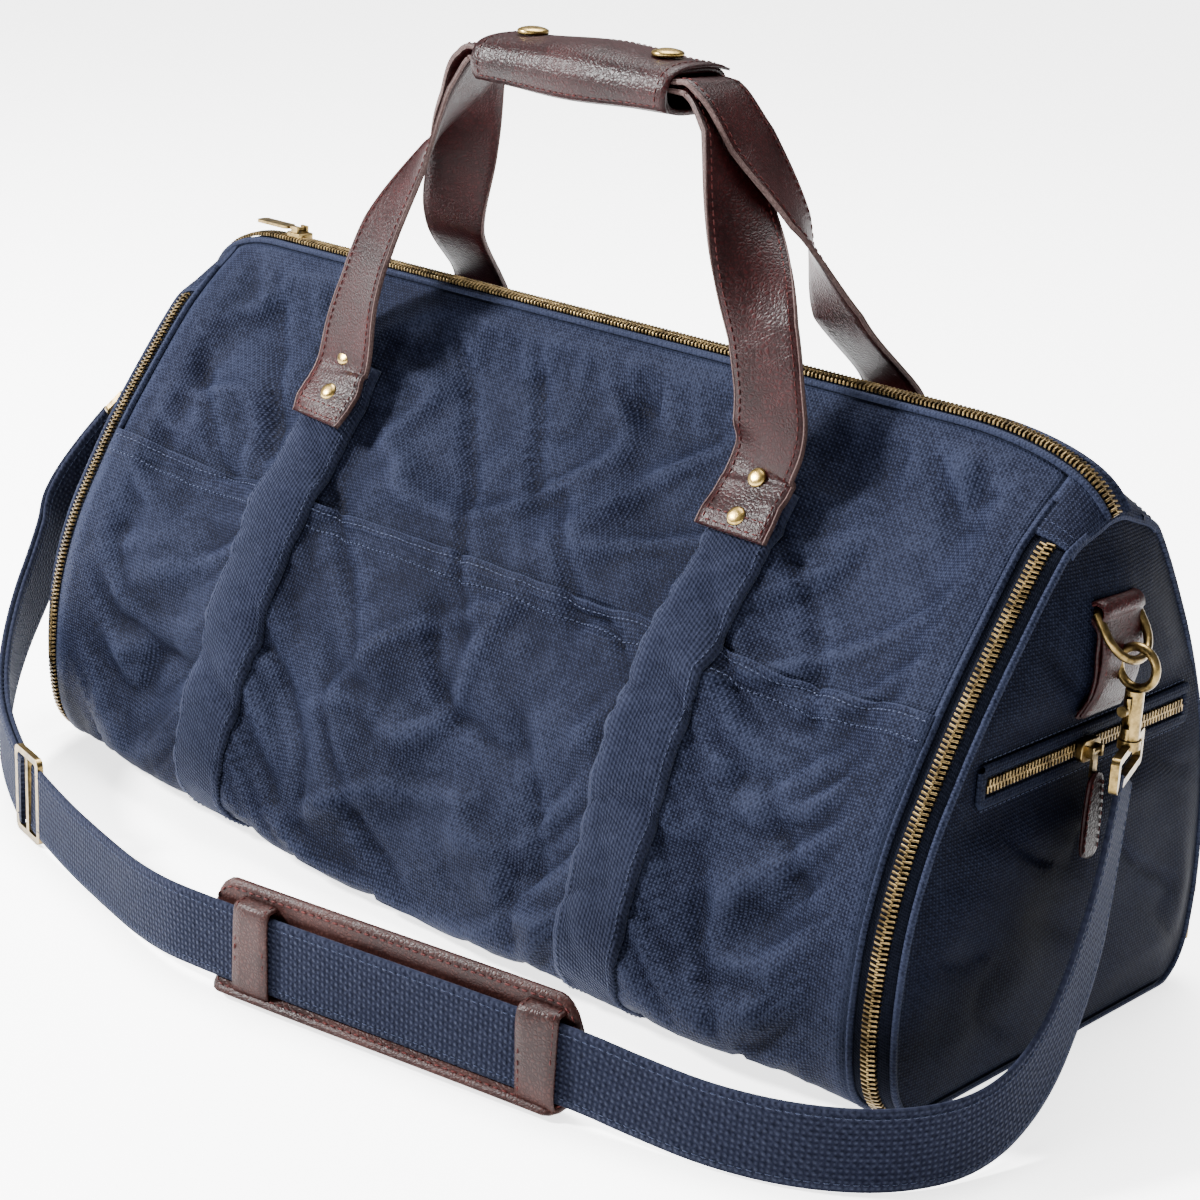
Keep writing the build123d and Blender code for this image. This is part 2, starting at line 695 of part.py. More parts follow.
flat_strap(MAIN_ROUTE, "strap_main", 60)
flat_strap(LEFT_ROUTE, "strap_left_outer", 20, side_step=1.6)
flat_strap(LEFT_ROUTE, "strap_left_inner", 20, side_step=-1.6)

# Adjuster: a rectangular frame with a centre bar that the webbing turns round
adjuster_dir = Vector(-9, 2, 0).normalized()
adjuster_plane = Plane(ADJUSTER, x_dir=adjuster_dir, z_dir=adjuster_dir.cross(Vector(0, 0, 1)))
with BuildPart() as strap_adjuster:
    with BuildSketch(adjuster_plane):
        RectangleRounded(30, 47, 4)
        RectangleRounded(23, 40, 2, mode=Mode.SUBTRACT)
        Rectangle(3.4, 42)
    extrude(amount=1.6, both=True)
save(strap_adjuster, "strap_adjuster")

# Shoulder pad: a leather base behind the webbing and two keeper loops over it
pad_dir = (PAD_START - PAD_END).normalized()
pad_centre = (PAD_START + PAD_END) * 0.5
pad_out = Vector(pad_dir.Y, -pad_dir.X, 0)
pad_plane = Plane(pad_centre, x_dir=pad_dir, z_dir=pad_out)
PAD_LONG = 176.0
PAD_TALL = 51.0
PAD_THICK = 3.4
LOOP_WIDE = 16.0

with BuildPart() as shoulder_pad:
    with BuildSketch(pad_plane.offset(-WEBBING_THICK / 2 - GAP)):
        RectangleRounded(PAD_LONG, PAD_TALL, 9)
    extrude(amount=-PAD_THICK)
save(shoulder_pad, "shoulder_pad")

with BuildPart() as pad_loops:
    loop_tall = WEBBING_WIDTH + 7
    with BuildSketch(pad_plane.offset(-WEBBING_THICK / 2 - GAP)):
        with Locations((-PAD_LONG / 2 + 16, 0), (PAD_LONG / 2 - 16, 0)):
            RectangleRounded(LOOP_WIDE, loop_tall, 2)
    extrude(amount=WEBBING_THICK + 2 * GAP + 2)
    with BuildSketch(pad_plane.offset(-WEBBING_THICK / 2 - GAP)):
        Rectangle(PAD_LONG + 10, WEBBING_WIDTH + 2 * GAP)
    extrude(amount=WEBBING_THICK + 2 * GAP, mode=Mode.SUBTRACT)
save(pad_loops, "pad_loops")
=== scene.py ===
import bpy
import math
import numpy as np
from mathutils import Matrix, Vector, noise


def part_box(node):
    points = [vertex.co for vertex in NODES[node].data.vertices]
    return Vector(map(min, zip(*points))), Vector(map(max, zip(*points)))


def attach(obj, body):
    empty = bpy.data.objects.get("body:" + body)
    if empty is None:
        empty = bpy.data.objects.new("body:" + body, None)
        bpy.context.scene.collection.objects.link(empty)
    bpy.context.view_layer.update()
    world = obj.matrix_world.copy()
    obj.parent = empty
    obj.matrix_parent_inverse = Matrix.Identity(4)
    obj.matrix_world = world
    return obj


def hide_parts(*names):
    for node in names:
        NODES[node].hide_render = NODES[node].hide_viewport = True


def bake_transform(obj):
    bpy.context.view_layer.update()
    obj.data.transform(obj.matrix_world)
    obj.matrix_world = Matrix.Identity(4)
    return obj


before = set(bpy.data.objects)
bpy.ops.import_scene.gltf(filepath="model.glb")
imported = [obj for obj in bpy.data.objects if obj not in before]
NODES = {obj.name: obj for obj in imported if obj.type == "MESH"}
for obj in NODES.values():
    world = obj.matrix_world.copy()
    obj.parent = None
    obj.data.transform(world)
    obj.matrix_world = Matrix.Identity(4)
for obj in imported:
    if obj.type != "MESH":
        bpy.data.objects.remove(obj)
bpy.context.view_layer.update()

# Canvas weekender bag. Metres, +X right end, -Y front, +Z up. Most pieces are laid on one body surface,
# which is a grid: rows run along the bag from end to end and columns run round it, from the middle of
# the base up the front, over the ridge and down the back.

# ---------------------------------------------------------------- sizes
STRAP_X = 0.140
WEBBING = 0.038
LEATHER_WIDE = 0.0395
MAIN_HALF = 0.272
END_R = 0.028
RIDGE_Y = 0.008
POCKET_TOP = 0.176
SIDE_ZIP_TOP = 0.2425
TOOTH_PITCH = 0.0023
PANEL_EDGE = 0.2785
FOOT_Z = 0.0045
ZIP_X = 0.2885
ZIP_BAND = (0.2775, 0.2988)
RIDGE_ZIP_END = 0.2975
CANVAS_THICK = 0.0016
CLOTH_SHIFT = 0.009
CLOTH_FRAMES = 25


# ---------------------------------------------------------------- small maths
def unit(v):
    v = np.asarray(v, float)
    return v / np.maximum(np.linalg.norm(v, axis=-1, keepdims=True), 1e-12)


def along(points):
    """Unit directions along a line of points."""
    return unit(np.gradient(points, axis=0))


def smooth_step(x, low, high):
    t = np.clip((x - low) / (high - low), 0, 1)
    return t * t * (3 - 2 * t)


def arc_positions(points):
    return np.concatenate([[0], np.cumsum(np.linalg.norm(np.diff(points, axis=0), axis=1))])


def resample(points, count):
    """Points evenly spaced along a polyline."""
    points = np.asarray(points, float)
    s = arc_positions(points)
    t = np.linspace(0, s[-1], count)
    return np.stack([np.interp(t, s, points[:, i]) for i in range(points.shape[1])], 1)


def curve_through(points, count):
    """A smooth curve through given points (Catmull-Rom), evenly resampled."""
    p = np.asarray(points, float)
    p = np.vstack([2 * p[0] - p[1], p, 2 * p[-1] - p[-2]])
    out = []
    for i in range(1, len(p) - 2):
        t = np.linspace(0, 1, 24, endpoint=False)[:, None]
        a, b, c, d = p[i - 1], p[i], p[i + 1], p[i + 2]
        second = 2 * a - 5 * b + 4 * c - d
        third = 3 * b - a - 3 * c + d
        out.append(0.5 * (2 * b + (c - a) * t + second * t**2 + third * t**3))
    out.append(p[-2][None])
    return resample(np.vstack(out), count)


def fbm(x, y, z, octaves=3):
    return noise.fractal(Vector((x, y, z)), 0.9, 2.1, octaves, noise_basis="PERLIN_ORIGINAL")


# ---------------------------------------------------------------- meshes
def new_mesh(name, verts, faces, uvs=None, smooth=True, material=None):
    mesh = bpy.data.meshes.new(name)
    mesh.from_pydata([tuple(v) for v in verts], [], [tuple(int(i) for i in f) for f in faces])
    if uvs is not None:
        layer = mesh.uv_layers.new(name="cloth")
        loops = np.zeros(len(mesh.loops), int)
        mesh.loops.foreach_get("vertex_index", loops)
        layer.data.foreach_set("uv", np.asarray(uvs, float)[loops].ravel())
    mesh.polygons.foreach_set("use_smooth", [smooth] * len(mesh.polygons))
    mesh.update()
    obj = bpy.data.objects.new(name, mesh)
    bpy.context.scene.collection.objects.link(obj)
    if material is not None:
        mesh.materials.append(material)
    return obj


def grid_faces(rows, cols, wrap=False):
    cols_out = cols if wrap else cols - 1
    i, j = np.meshgrid(np.arange(rows - 1), np.arange(cols_out), indexing="ij")
    jn = (j + 1) % cols
    quads = np.stack([i * cols + j, (i + 1) * cols + j, (i + 1) * cols + jn, i * cols + jn], -1)
    return quads.reshape(-1, 4)


def slab(name, outer, normals, thick, uvs, material):
    """A closed sheet: a grid of outer points, drawn in along the normals by its thickness."""
    rows, cols = outer.shape[:2]
    ease = np.zeros((rows, cols))
    ease[0, :] = ease[-1, :] = ease[:, 0] = ease[:, -1] = 1
    face = outer - normals * (ease * thick * 0.35)[..., None]
    back = outer - normals * thick
    n = rows * cols
    verts = np.vstack([face.reshape(-1, 3), back.reshape(-1, 3)])
    top = grid_faces(rows, cols)
    faces = [tuple(f) for f in top] + [tuple(f[::-1] + n) for f in top]
    rim = (
        [(0, j) for j in range(cols)]
        + [(i, cols - 1) for i in range(1, rows)]
        + [(rows - 1, j) for j in range(cols - 2, -1, -1)]
        + [(i, 0) for i in range(rows - 2, 0, -1)]
    )
    index = [i * cols + j for i, j in rim]
    for k in range(len(index)):
        a, b = index[k], index[(k + 1) % len(index)]
        faces.append((a, b, b + n, a + n))
    uv = np.vstack([uvs.reshape(-1, 2)] * 2)
    return new_mesh(name, verts, faces, uv, True, material)


def merge_template(name, template, faces, frames, material, smooth=True):
    """Copies of one small shape, one per frame (origin and three axes), as a single mesh."""
    template = np.asarray(template, float)
    verts, polys = [], []
    for k, (origin, ax, ay, az) in enumerate(frames):
        basis = np.stack([ax, ay, az])
        verts.append(template @ basis + origin)
        polys += [tuple(i + k * len(template) for i in f) for f in faces]
    return new_mesh(name, np.vstack(verts), polys, None, smooth, material)


def sweep(name, points, normals, section, material, caps=True, widths=1.0):
    """A closed section (across, out) swept along points; out is the normal, across is tangent x normal."""
    points = np.asarray(points, float)
    tangents = along(points)
    normals = unit(normals - tangents * np.sum(normals * tangents, axis=1)[:, None])
    across = np.cross(tangents, normals)
    section = np.asarray(section, float)
    spread = np.broadcast_to(widths, len(points))[:, None, None] * section[None, :, :1]
    rings = points[:, None] + across[:, None] * spread + normals[:, None] * section[None, :, 1:]
    rows, cols = rings.shape[:2]
    verts = rings.reshape(-1, 3)
    faces = [tuple(f[::-1]) for f in grid_faces(rows, cols, wrap=True)]
    if caps:
        faces.append(tuple(range(cols)))
        faces.append(tuple(reversed([(rows - 1) * cols + j for j in range(cols)])))
    s = arc_positions(points)
    uv = np.zeros((rows, cols, 2))
    uv[..., 0] = section[None, :, 0]
    uv[..., 1] = s[:, None]
    return new_mesh(name, verts, faces, uv.reshape(-1, 2), True, material)


def flat_section(width, thick, across=9):
    """Rounded flat section of webbing or leather."""
    x = np.linspace(-0.5, 0.5, across) * (width - thick * 0.7)
    top = np.stack([x, np.full(across, thick / 2)], 1)
    low = np.stack([x[::-1], np.full(across, -thick / 2)], 1)
    right = [[width / 2, thick * 0.18], [width / 2, -thick * 0.18]]
    left = [[-width / 2, -thick * 0.18], [-width / 2, thick * 0.18]]
    return np.vstack([top, right, low, left])


def ring_section(radius, count=10):
    a = np.linspace(0, 2 * math.pi, count, endpoint=False)
    return np.stack([np.cos(a), -np.sin(a)], 1) * radius


def lathe(name, outline, frames, material, count=20):
    """Turned shapes: an outline of (radius, height) points, one copy per frame."""
    outline = np.asarray(outline, float)
    a = np.linspace(0, 2 * math.pi, count, endpoint=False)
    template = [[0, 0, outline[0, 1]]]
    for r, h in outline[1:-1]:
        template += [[r * math.cos(t), r * math.sin(t), h] for t in a]
    template.append([0, 0, outline[-1, 1]])
    rings = len(outline) - 2
    faces = [(0, 1 + (k + 1) % count, 1 + k) for k in range(count)]
    for i in range(rings - 1):
        for k in range(count):
            p, q = 1 + i * count + k, 1 + i * count + (k + 1) % count
            faces.append((p, q, q + count, p + count))
    last = 1 + (rings - 1) * count
    top = len(template) - 1
    faces += [(last + k, last + (k + 1) % count, top) for k in range(count)]
    return merge_template(name, template, faces, frames, material)


STITCH = np.array(
    [
        [-1, 0, -0.6], [-0.6, 0.8, 0], [-0.6, -0.8, 0], [-0.6, 0, 0.8], [0.6, 0.8, 0], [0.6, -0.8, 0],
        [0.6, 0, 0.8], [1, 0, -0.6]
    ]
)
STITCH_FACES = [
    (0, 3, 1), (0, 2, 3), (1, 3, 6, 4), (2, 5, 6, 3), (4, 6, 7), (5, 7, 6), (0, 1, 4, 7), (0, 7, 5, 2)
]


def stitches(name, lines, material, pitch=0.0036, size=0.00042, gap=0.28):
    """Thread lying along lines, each given as (points, normals)."""
    frames = []
    for points, normals in lines:
        length = arc_positions(points)[-1]
        count = max(2, int(length / pitch))
        p = resample(points, count * 2 + 1)
        n = unit(resample(normals, count * 2 + 1))
        for k in range(count):
            a, b = p[2 * k], p[2 * k + 2]
            run = unit(b - a)
            up = unit(n[2 * k + 1] - run * np.dot(n[2 * k + 1], run))
            half = np.linalg.norm(b - a) * (1 - gap) / 2
            frames.append(
                (p[2 * k + 1] + up * size * 0.35, run * half, np.cross(up, run) * size, up * size)
            )
    return merge_template(name, STITCH, STITCH_FACES, frames, material)


# ---------------------------------------------------------------- materials
def nodes_of(name):
    material = bpy.data.materials.new(name)
    material.use_nodes = True
    tree = material.node_tree
    return material, tree, tree.nodes["Principled BSDF"]


def add(tree, kind, **values):
    node = tree.nodes.new(kind)
    for key, value in values.items():
        if hasattr(node, key):
            setattr(node, key, value)
        else:
            node.inputs[key].default_value = value
    return node


def link(tree, a, b):
    tree.links.new(a, b)


def maths(tree, operation, a, b=None):
    node = add(tree, "ShaderNodeMath", operation=operation)
    for k, value in enumerate((a, b)):
        if value is None:
            continue
        if isinstance(value, (int, float)):
            node.inputs[k].default_value = value
        else:
            link(tree, value, node.inputs[k])
    return node.outputs[0]


def weighted(tree, *terms):
    """The sum of values, each times its weight."""
    total = None
    for value, weight in terms:
        part = maths(tree, "MULTIPLY", value, weight)
        total = part if total is None else maths(tree, "ADD", total, part)
    return total


def ramp(tree, source, stops):
    node = add(tree, "ShaderNodeValToRGB")
    elements = node.color_ramp.elements
    elements[0].position, elements[0].color = stops[0][0], (*stops[0][1], 1)
    elements[1].position, elements[1].color = stops[-1][0], (*stops[-1][1], 1)
    for position, colour in stops[1:-1]:
        element = elements.new(position)
        element.color = (*colour, 1)
    link(tree, source, node.inputs[0])
    return node.outputs[0]


def grain(tree, scale, detail=3.0, coords=None, roughness=0.55):
    node = add(tree, "ShaderNodeTexNoise", Scale=scale, Detail=detail, Roughness=roughness)
    if coords is not None:
        link(tree, coords, node.inputs["Vector"])
    return node.outputs[0]


def bump(tree, shader, height, distance, strength=1.0, previous=None):
    node = add(tree, "ShaderNodeBump", Distance=distance, Strength=strength)
    link(tree, height, node.inputs["Height"])
    if previous is not None:
        link(tree, previous, node.inputs["Normal"])
    link(tree, node.outputs[0], shader.inputs["Normal"])
    return node.outputs[0]


def cloth_uv(tree):
    uv = add(tree, "ShaderNodeUVMap", uv_map="cloth")
    split = add(tree, "ShaderNodeSeparateXYZ")
    link(tree, uv.outputs[0], split.inputs[0])
    return split.outputs[0], split.outputs[1]


def wave(tree, coordinate, period):
    """0 to 1 sine of a length in metres."""
    turned = maths(tree, "MULTIPLY", coordinate, 2 * math.pi / period)
    return maths(tree, "MULTIPLY_ADD", maths(tree, "SINE", turned), 0.5)


def woven(name, dark, mid, light, period, depth, sheen=0.25, rough=0.72, scuffs=0.5, twill=False):
    """Plain or basket weave on the cloth's own coordinates, with wax blooms and scuffs, lighter wear on
    raised folds and painted shade in creases.
    """
    material, tree, shader = nodes_of(name)
    u, v = cloth_uv(tree)
    if twill:
        slant = maths(tree, "ADD", u, maths(tree, "MULTIPLY", v, 0.55))
        warp = wave(tree, slant, period)
        weft = wave(tree, v, period * 0.8)
        weave = weighted(tree, (warp, 0.65), (weft, 0.5))
    else:
        warp, weft = wave(tree, u, period), wave(tree, v, period)
        checker = maths(tree, "MULTIPLY", warp, weft)
        diagonal = wave(tree, maths(tree, "ADD", u, v), period * 2)
        weave = maths(tree, "ADD", checker, maths(tree, "MULTIPLY", diagonal, 0.35))
    position = add(tree, "ShaderNodeTexCoord").outputs["Object"]
    blotch = grain(tree, 9.0, 5.0, position, 0.6)
    slub = grain(tree, 420.0, 2.0, position)
    fleck = grain(tree, 2600.0, 1.0, position)
    # Pointiness: lighter on raised folds and edges as wear, darker in creases and hollows as painted shade.
    wear_and_crease_shade = maths(tree, "SUBTRACT", add(tree, "ShaderNodeNewGeometry").outputs["Pointiness"], 0.5)
    tone = weighted(tree, (blotch, scuffs), (slub, 0.42), (weave, 0.30), (fleck, 0.34), (wear_and_crease_shade, 2.6))
    low = 0.26 + 0.5 * scuffs
    colour = ramp(tree, tone, [(low, dark), (low + 0.2, mid), (low + 0.5, light)])
    link(tree, colour, shader.inputs["Base Color"])
    wax = grain(tree, 30.0, 4.0, position)
    roughness = maths(tree, "MULTIPLY_ADD", wax, 0.24)
    roughness.node.inputs[2].default_value = rough - 0.12
    link(tree, roughness, shader.inputs["Roughness"])
    shader.inputs["Sheen Weight"].default_value = sheen
    shader.inputs["Sheen Roughness"].default_value = 0.45
    shader.inputs["Sheen Tint"].default_value = (0.55, 0.62, 0.85, 1)
    shader.inputs["Specular IOR Level"].default_value = 0.025
    first = bump(tree, shader, weave, depth, 0.9)
    bump(tree, shader, slub, depth * 1.2, 0.5, first)
    return material


def leather(name, dark, mid, light, rough=0.42, pebble=520.0, depth=0.00045):
    material, tree, shader = nodes_of(name)
    position = add(tree, "ShaderNodeTexCoord").outputs["Object"]
    cells = add(tree, "ShaderNodeTexVoronoi", feature="DISTANCE_TO_EDGE", Scale=pebble)
    jitter = add(tree, "ShaderNodeTexNoise", Scale=150.0, Detail=2.0)
    link(tree, position, jitter.inputs["Vector"])
    mix = add(tree, "ShaderNodeVectorMath", operation="MULTIPLY_ADD")
    link(tree, jitter.outputs["Color"], mix.inputs[0])
    mix.inputs[1].default_value = (0.004, 0.004, 0.004)
    link(tree, position, mix.inputs[2])
    link(tree, mix.outputs[0], cells.inputs["Vector"])
    height = maths(tree, "MINIMUM", cells.outputs["Distance"], 0.32)
    cloud = grain(tree, 26.0, 4.0, position)
    pores = grain(tree, 1500.0, 2.0, position)
    tone = weighted(tree, (cloud, 0.75), (height, 0.7))
    link(tree, ramp(tree, tone, [(0.3, dark), (0.55, mid), (0.85, light)]), shader.inputs["Base Color"])
    roughness = maths(tree, "MULTIPLY_ADD", cloud, 0.3)
    roughness.node.inputs[2].default_value = rough - 0.15
    link(tree, roughness, shader.inputs["Roughness"])
    shader.inputs["Specular IOR Level"].default_value = 0.13
    first = bump(tree, shader, height, depth, 0.8)
    bump(tree, shader, pores, depth * 0.2, 0.4, first)
    return material


def metal(name, dark, light, rough):
    material, tree, shader = nodes_of(name)
    position = add(tree, "ShaderNodeTexCoord").outputs["Object"]
    patina = grain(tree, 190.0, 5.0, position, 0.62)
    link(tree, ramp(tree, patina, [(0.34, dark), (0.62, light)]), shader.inputs["Base Color"])
    roughness = maths(tree, "MULTIPLY_ADD", grain(tree, 420.0, 3.0, position), 0.26)
    roughness.node.inputs[2].default_value = rough - 0.1
    link(tree, roughness, shader.inputs["Roughness"])
    shader.inputs["Metallic"].default_value = 1.0
    bump(tree, shader, grain(tree, 900.0, 2.0, position), 0.00012, 0.6)
    return material


CANVAS = woven(
    "canvas_navy", (0.0010, 0.0013, 0.0035), (0.0029, 0.0038, 0.0094), (0.0135, 0.0165, 0.0310), 0.0016,
    0.00030, sheen=0.0, rough=0.62, scuffs=0.6
)
# The same canvas at about half the brightness, for the end panels and the end pocket's welt: painted shade
# on the ends.
CANVAS_END_PAINTED_SHADE = woven(
    "canvas_navy_end_painted_shade", (0.0006, 0.0008, 0.0024), (0.0013, 0.0018, 0.0050), (0.0060, 0.0078, 0.0155), 0.0016,
    0.00030, sheen=0.0, rough=0.72, scuffs=0.6
)
WEB = woven(
    "webbing_navy", (0.0017, 0.0022, 0.0055), (0.0036, 0.0046, 0.0108), (0.0118, 0.0140, 0.0262), 0.0021,
    0.00055, sheen=0.05, rough=0.8, scuffs=0.3, twill=True
)
BASKET = woven(
    "webbing_basket", (0.0018, 0.0022, 0.0054), (0.0038, 0.0046, 0.0104), (0.0120, 0.0140, 0.0250), 0.0026,
    0.0006, sheen=0.05, rough=0.8, scuffs=0.25
)
TAPE = woven(
    "zip_tape_navy", (0.0007, 0.0010, 0.0024), (0.0012, 0.0016, 0.0038), (0.0040, 0.0050, 0.0095), 0.0014,
    0.0002, sheen=0.05, rough=0.8, scuffs=0.2, twill=True
)
LINING = woven(
    "lining_grey", (0.05, 0.06, 0.08), (0.08, 0.09, 0.12), (0.13, 0.14, 0.17), 0.0008, 0.0001, scuffs=0.2
)
THREAD = woven(
    "thread_navy", (0.0030, 0.0042, 0.0115), (0.0065, 0.0090, 0.0220), (0.016, 0.020, 0.040), 0.0004,
    0.0001, scuffs=0.2
)
HIDE = leather(
    "leather_oxblood", (0.0038, 0.0004, 0.0005), (0.0120, 0.0011, 0.0013), (0.036, 0.0052, 0.0054)
)
HIDE_PAD = leather(
    "leather_brown", (0.0080, 0.0020, 0.0018), (0.0230, 0.0075, 0.0062), (0.058, 0.0240, 0.0200), rough=0.46
)
EDGE = leather(
    "leather_edge", (0.028, 0.015, 0.014), (0.060, 0.037, 0.034), (0.11, 0.078, 0.070), rough=0.6,
    depth=0.0001
)
THREAD_RED = leather(
    "thread_red", (0.030, 0.005, 0.0045), (0.055, 0.010, 0.009), (0.09, 0.020, 0.017), rough=0.65,
    depth=0.0001
)
BRASS = metal("brass_antique", (0.050, 0.034, 0.012), (0.21, 0.145, 0.056), 0.30)
BRASS_DARK = metal("brass_teeth", (0.030, 0.020, 0.009), (0.170, 0.118, 0.052), 0.32)
BRASS_LIGHT = metal("brass_bright", (0.190, 0.125, 0.036), (0.36, 0.250, 0.085), 0.27)

# ---------------------------------------------------------------- body surface
# Section of the bag at the middle, front half: from the middle of the base to the ridge.
FRONT = [
    (0.000, 0.0022),
    (-0.050, 0.0022),
    (-0.088, 0.0024),
    (-0.108, 0.0058),
    (-0.1200, 0.0190),
    (-0.1245, 0.0420),
    (-0.1240, 0.0680),
    (-0.1195, 0.0970),
    (-0.1090, 0.1280),
    (-0.0940, 0.1560),
    (-0.0780, 0.1820),
    (-0.0600, 0.2070),
    (-0.0400, 0.2330),
    (-0.0190, 0.2570),
    (-0.0060, 0.2692),
    (0.0010, 0.2764),
    (RIDGE_Y, 0.2784),
]
BACK_SLIM = 0.93
CENTRE = np.array([0.004, 0.125])
COLUMNS = 192
MAIN_ROWS = 121
FILLET_ROWS = 9


def base_section():
    front = curve_through(FRONT, COLUMNS // 2 + 1)
    lean = RIDGE_Y * (1 + BACK_SLIM) * smooth_step(front[:, 1], 0.06, 0.27)
    back = np.stack([-front[:, 0] * BACK_SLIM + lean, front[:, 1]], 1)[::-1]
    return np.vstack([front, back[1:-1]])


SECTION = base_section()


def row_table():
    """x and scale of every row, from the left end's edge to the right end's edge."""
    turn = np.linspace(0, math.radians(80), FILLET_ROWS)[1:]
    x_end = MAIN_HALF + END_R * np.sin(turn)
    scale_end = 1 - 0.105 * (turn / turn[-1]) ** 3.2
    x_main = np.linspace(-MAIN_HALF, MAIN_HALF, MAIN_ROWS)
    x = np.concatenate([-x_end[::-1], x_main, x_end])
    scale = np.concatenate([scale_end[::-1], np.ones(MAIN_ROWS), scale_end])
    return x, scale


ROW_X, ROW_SCALE = row_table()
ROWS = len(ROW_X)
CURVE_S = np.concatenate([arc_positions(SECTION), [0]])[:COLUMNS]
ROW_S = np.concatenate([[0], np.cumsum(np.hypot(np.diff(ROW_X), np.diff(ROW_SCALE) * 0.118))])


def bag_surface():
    grid = np.zeros((ROWS, COLUMNS, 3))
    for i in range(ROWS):
        x, scale = ROW_X[i], ROW_SCALE[i]
        p = CENTRE + (SECTION - CENTRE) * scale
        # the ridge dips and narrows towards the two ends, and the foot stays on the ground
        begin, radius = (0.220, 0.082) if x > 0 else (0.246, 0.056)
        over = min(max(0.0, abs(x) - begin) / radius, 0.99)
        drop = 0.92 * (1 - math.sqrt(1 - over**2))
        p[:, 1] -= drop * np.maximum(0, p[:, 1] - 0.240)
        # the foot keeps to the ground where the end turns in, and the sides sag outwards low down
        low = 1 - smooth_step(p[:, 1], 0.01, 0.09)
        p[:, 1] -= low * (1 - scale) * 0.115
        sag = np.exp(-(((p[:, 1] - 0.034) / 0.040) ** 2)) * (1 - smooth_step(abs(x), 0.13, 0.27))
        p[:, 0] += np.where(p[:, 0] < 0, -0.0135, 0.006) * sag
        grid[i, :, 0] = x
        grid[i, :, 1:] = p
    return grid


def surface_normals(grid):
    du = np.gradient(grid, axis=0)
    dv = (np.roll(grid, -1, axis=1) - np.roll(grid, 1, axis=1)) / 2
    return unit(np.cross(du, dv))


def wrinkle(grid, normals):
    """Sags and folds: broad dents, then creases, held flat at seams, webbing and zips."""
    moved = grid.copy()
    for i in range(ROWS):
        x = grid[i, 0, 0]
        hold_row = 1 - smooth_step(abs(x), 0.232, 0.268)
        strap = 1 - 0.72 * math.exp(-(((abs(x) - STRAP_X) / 0.024) ** 2))
        for j in range(COLUMNS):
            z = grid[i, j, 2]
            hold = hold_row * smooth_step(z, 0.010, 0.045) * (1 - smooth_step(z, 0.252, 0.272)) * strap
            if hold <= 0.001:
                continue
            s = CURVE_S[j]
            broad = fbm(x * 8.0 + 3.1, s * 8.5, 1.7, 2) * 0.0090
            slant = x * 0.80 + s * 0.60
            cross = -x * 0.60 + s * 0.80
            crease = fbm(slant * 19.0, cross * 6.5, 5.3, 2)
            crease = -0.0060 * max(0.0, 1 - abs(crease) * 3.4) ** 2
            other = fbm(cross * 17.0 + 9.0, slant * 7.0, 8.8, 2)
            other = 0.0048 * max(0.0, 1 - abs(other) * 3.8) ** 2
            small = fbm(x * 40.0, s * 40.0, 4.4, 2) * 0.0008
            rumple = 0.0055 * abs(fbm(x * 16.0, s * 16.0, 7.7, 3)) - 0.0014
            upper = smooth_step(z, 0.185, 0.235) * (1 - smooth_step(z, 0.25, 0.275))
            middle = math.exp(-((x / 0.12) ** 4))
            sag = -0.0060 * upper * (0.35 + 0.65 * middle)
            moved[i, j] += normals[i, j] * hold * (broad + crease + other + small + rumple + sag)
    return moved


CLOTH_SETTINGS = {
    "quality": 5, "mass": 0.4, "tension_stiffness": 22, "compression_stiffness": 22, "shear_stiffness": 8,
    "bending_stiffness": 1.6, "tension_damping": 12, "compression_damping": 12, "bending_damping": 1.5,
    "air_damping": 2, "shrink_min": -0.028, "vertex_group_mass": "held", "pin_stiffness": 1.2,
    "use_pressure": True, "uniform_pressure_force": 1.2,
}


def cloth_pass(grid):
    """Cloth simulation of the body: the canvas is cut a little large, held at zips, webbing and base."""
    verts = grid.reshape(-1, 3)
    obj = new_mesh("cloth_work", verts, grid_faces(ROWS, COLUMNS, wrap=True))
    group = obj.vertex_groups.new(name="held")
    x, z = np.abs(verts[:, 0]), verts[:, 2]
    held = np.maximum(smooth_step(x, 0.250, 0.268), smooth_step(z, 0.262, 0.270))
    held = np.maximum(held, 1 - smooth_step(z, 0.008, 0.016))
    held = np.maximum(held, 0.55 * (np.abs(x - STRAP_X) < 0.016))
    for index, weight in enumerate(held):
        if weight > 0.01:
            group.add([index], float(weight), "REPLACE")
    cloth = obj.modifiers.new("Cloth", "CLOTH")
    for key, value in CLOTH_SETTINGS.items():
        setattr(cloth.settings, key, value)
    cloth.collision_settings.use_collision = False
    cloth.collision_settings.use_self_collision = False
    scene = bpy.context.scene
    for step in range(1, CLOTH_FRAMES + 1):
        scene.frame_set(step)
    result = obj.evaluated_get(bpy.context.evaluated_depsgraph_get()).to_mesh()
    out = np.zeros(len(verts) * 3)
    result.vertices.foreach_get("co", out)
    out = out.reshape(-1, 3)
    scene.frame_set(1)
    bpy.data.objects.remove(obj)
    shift = out - verts
    size = np.linalg.norm(shift, axis=1, keepdims=True)
    shift *= np.minimum(1, CLOTH_SHIFT / np.maximum(size, 1e-9))
    shift *= (1 - np.clip(held, 0, 1))[:, None]
    return (verts + shift).reshape(grid.shape)


SMOOTH_GRID = bag_surface()
GRID = wrinkle(SMOOTH_GRID, surface_normals(SMOOTH_GRID))
GRID = cloth_pass(GRID)
GRID[:, :, 2] = np.maximum(GRID[:, :, 2], FOOT_Z)
NORMALS = surface_normals(GRID)


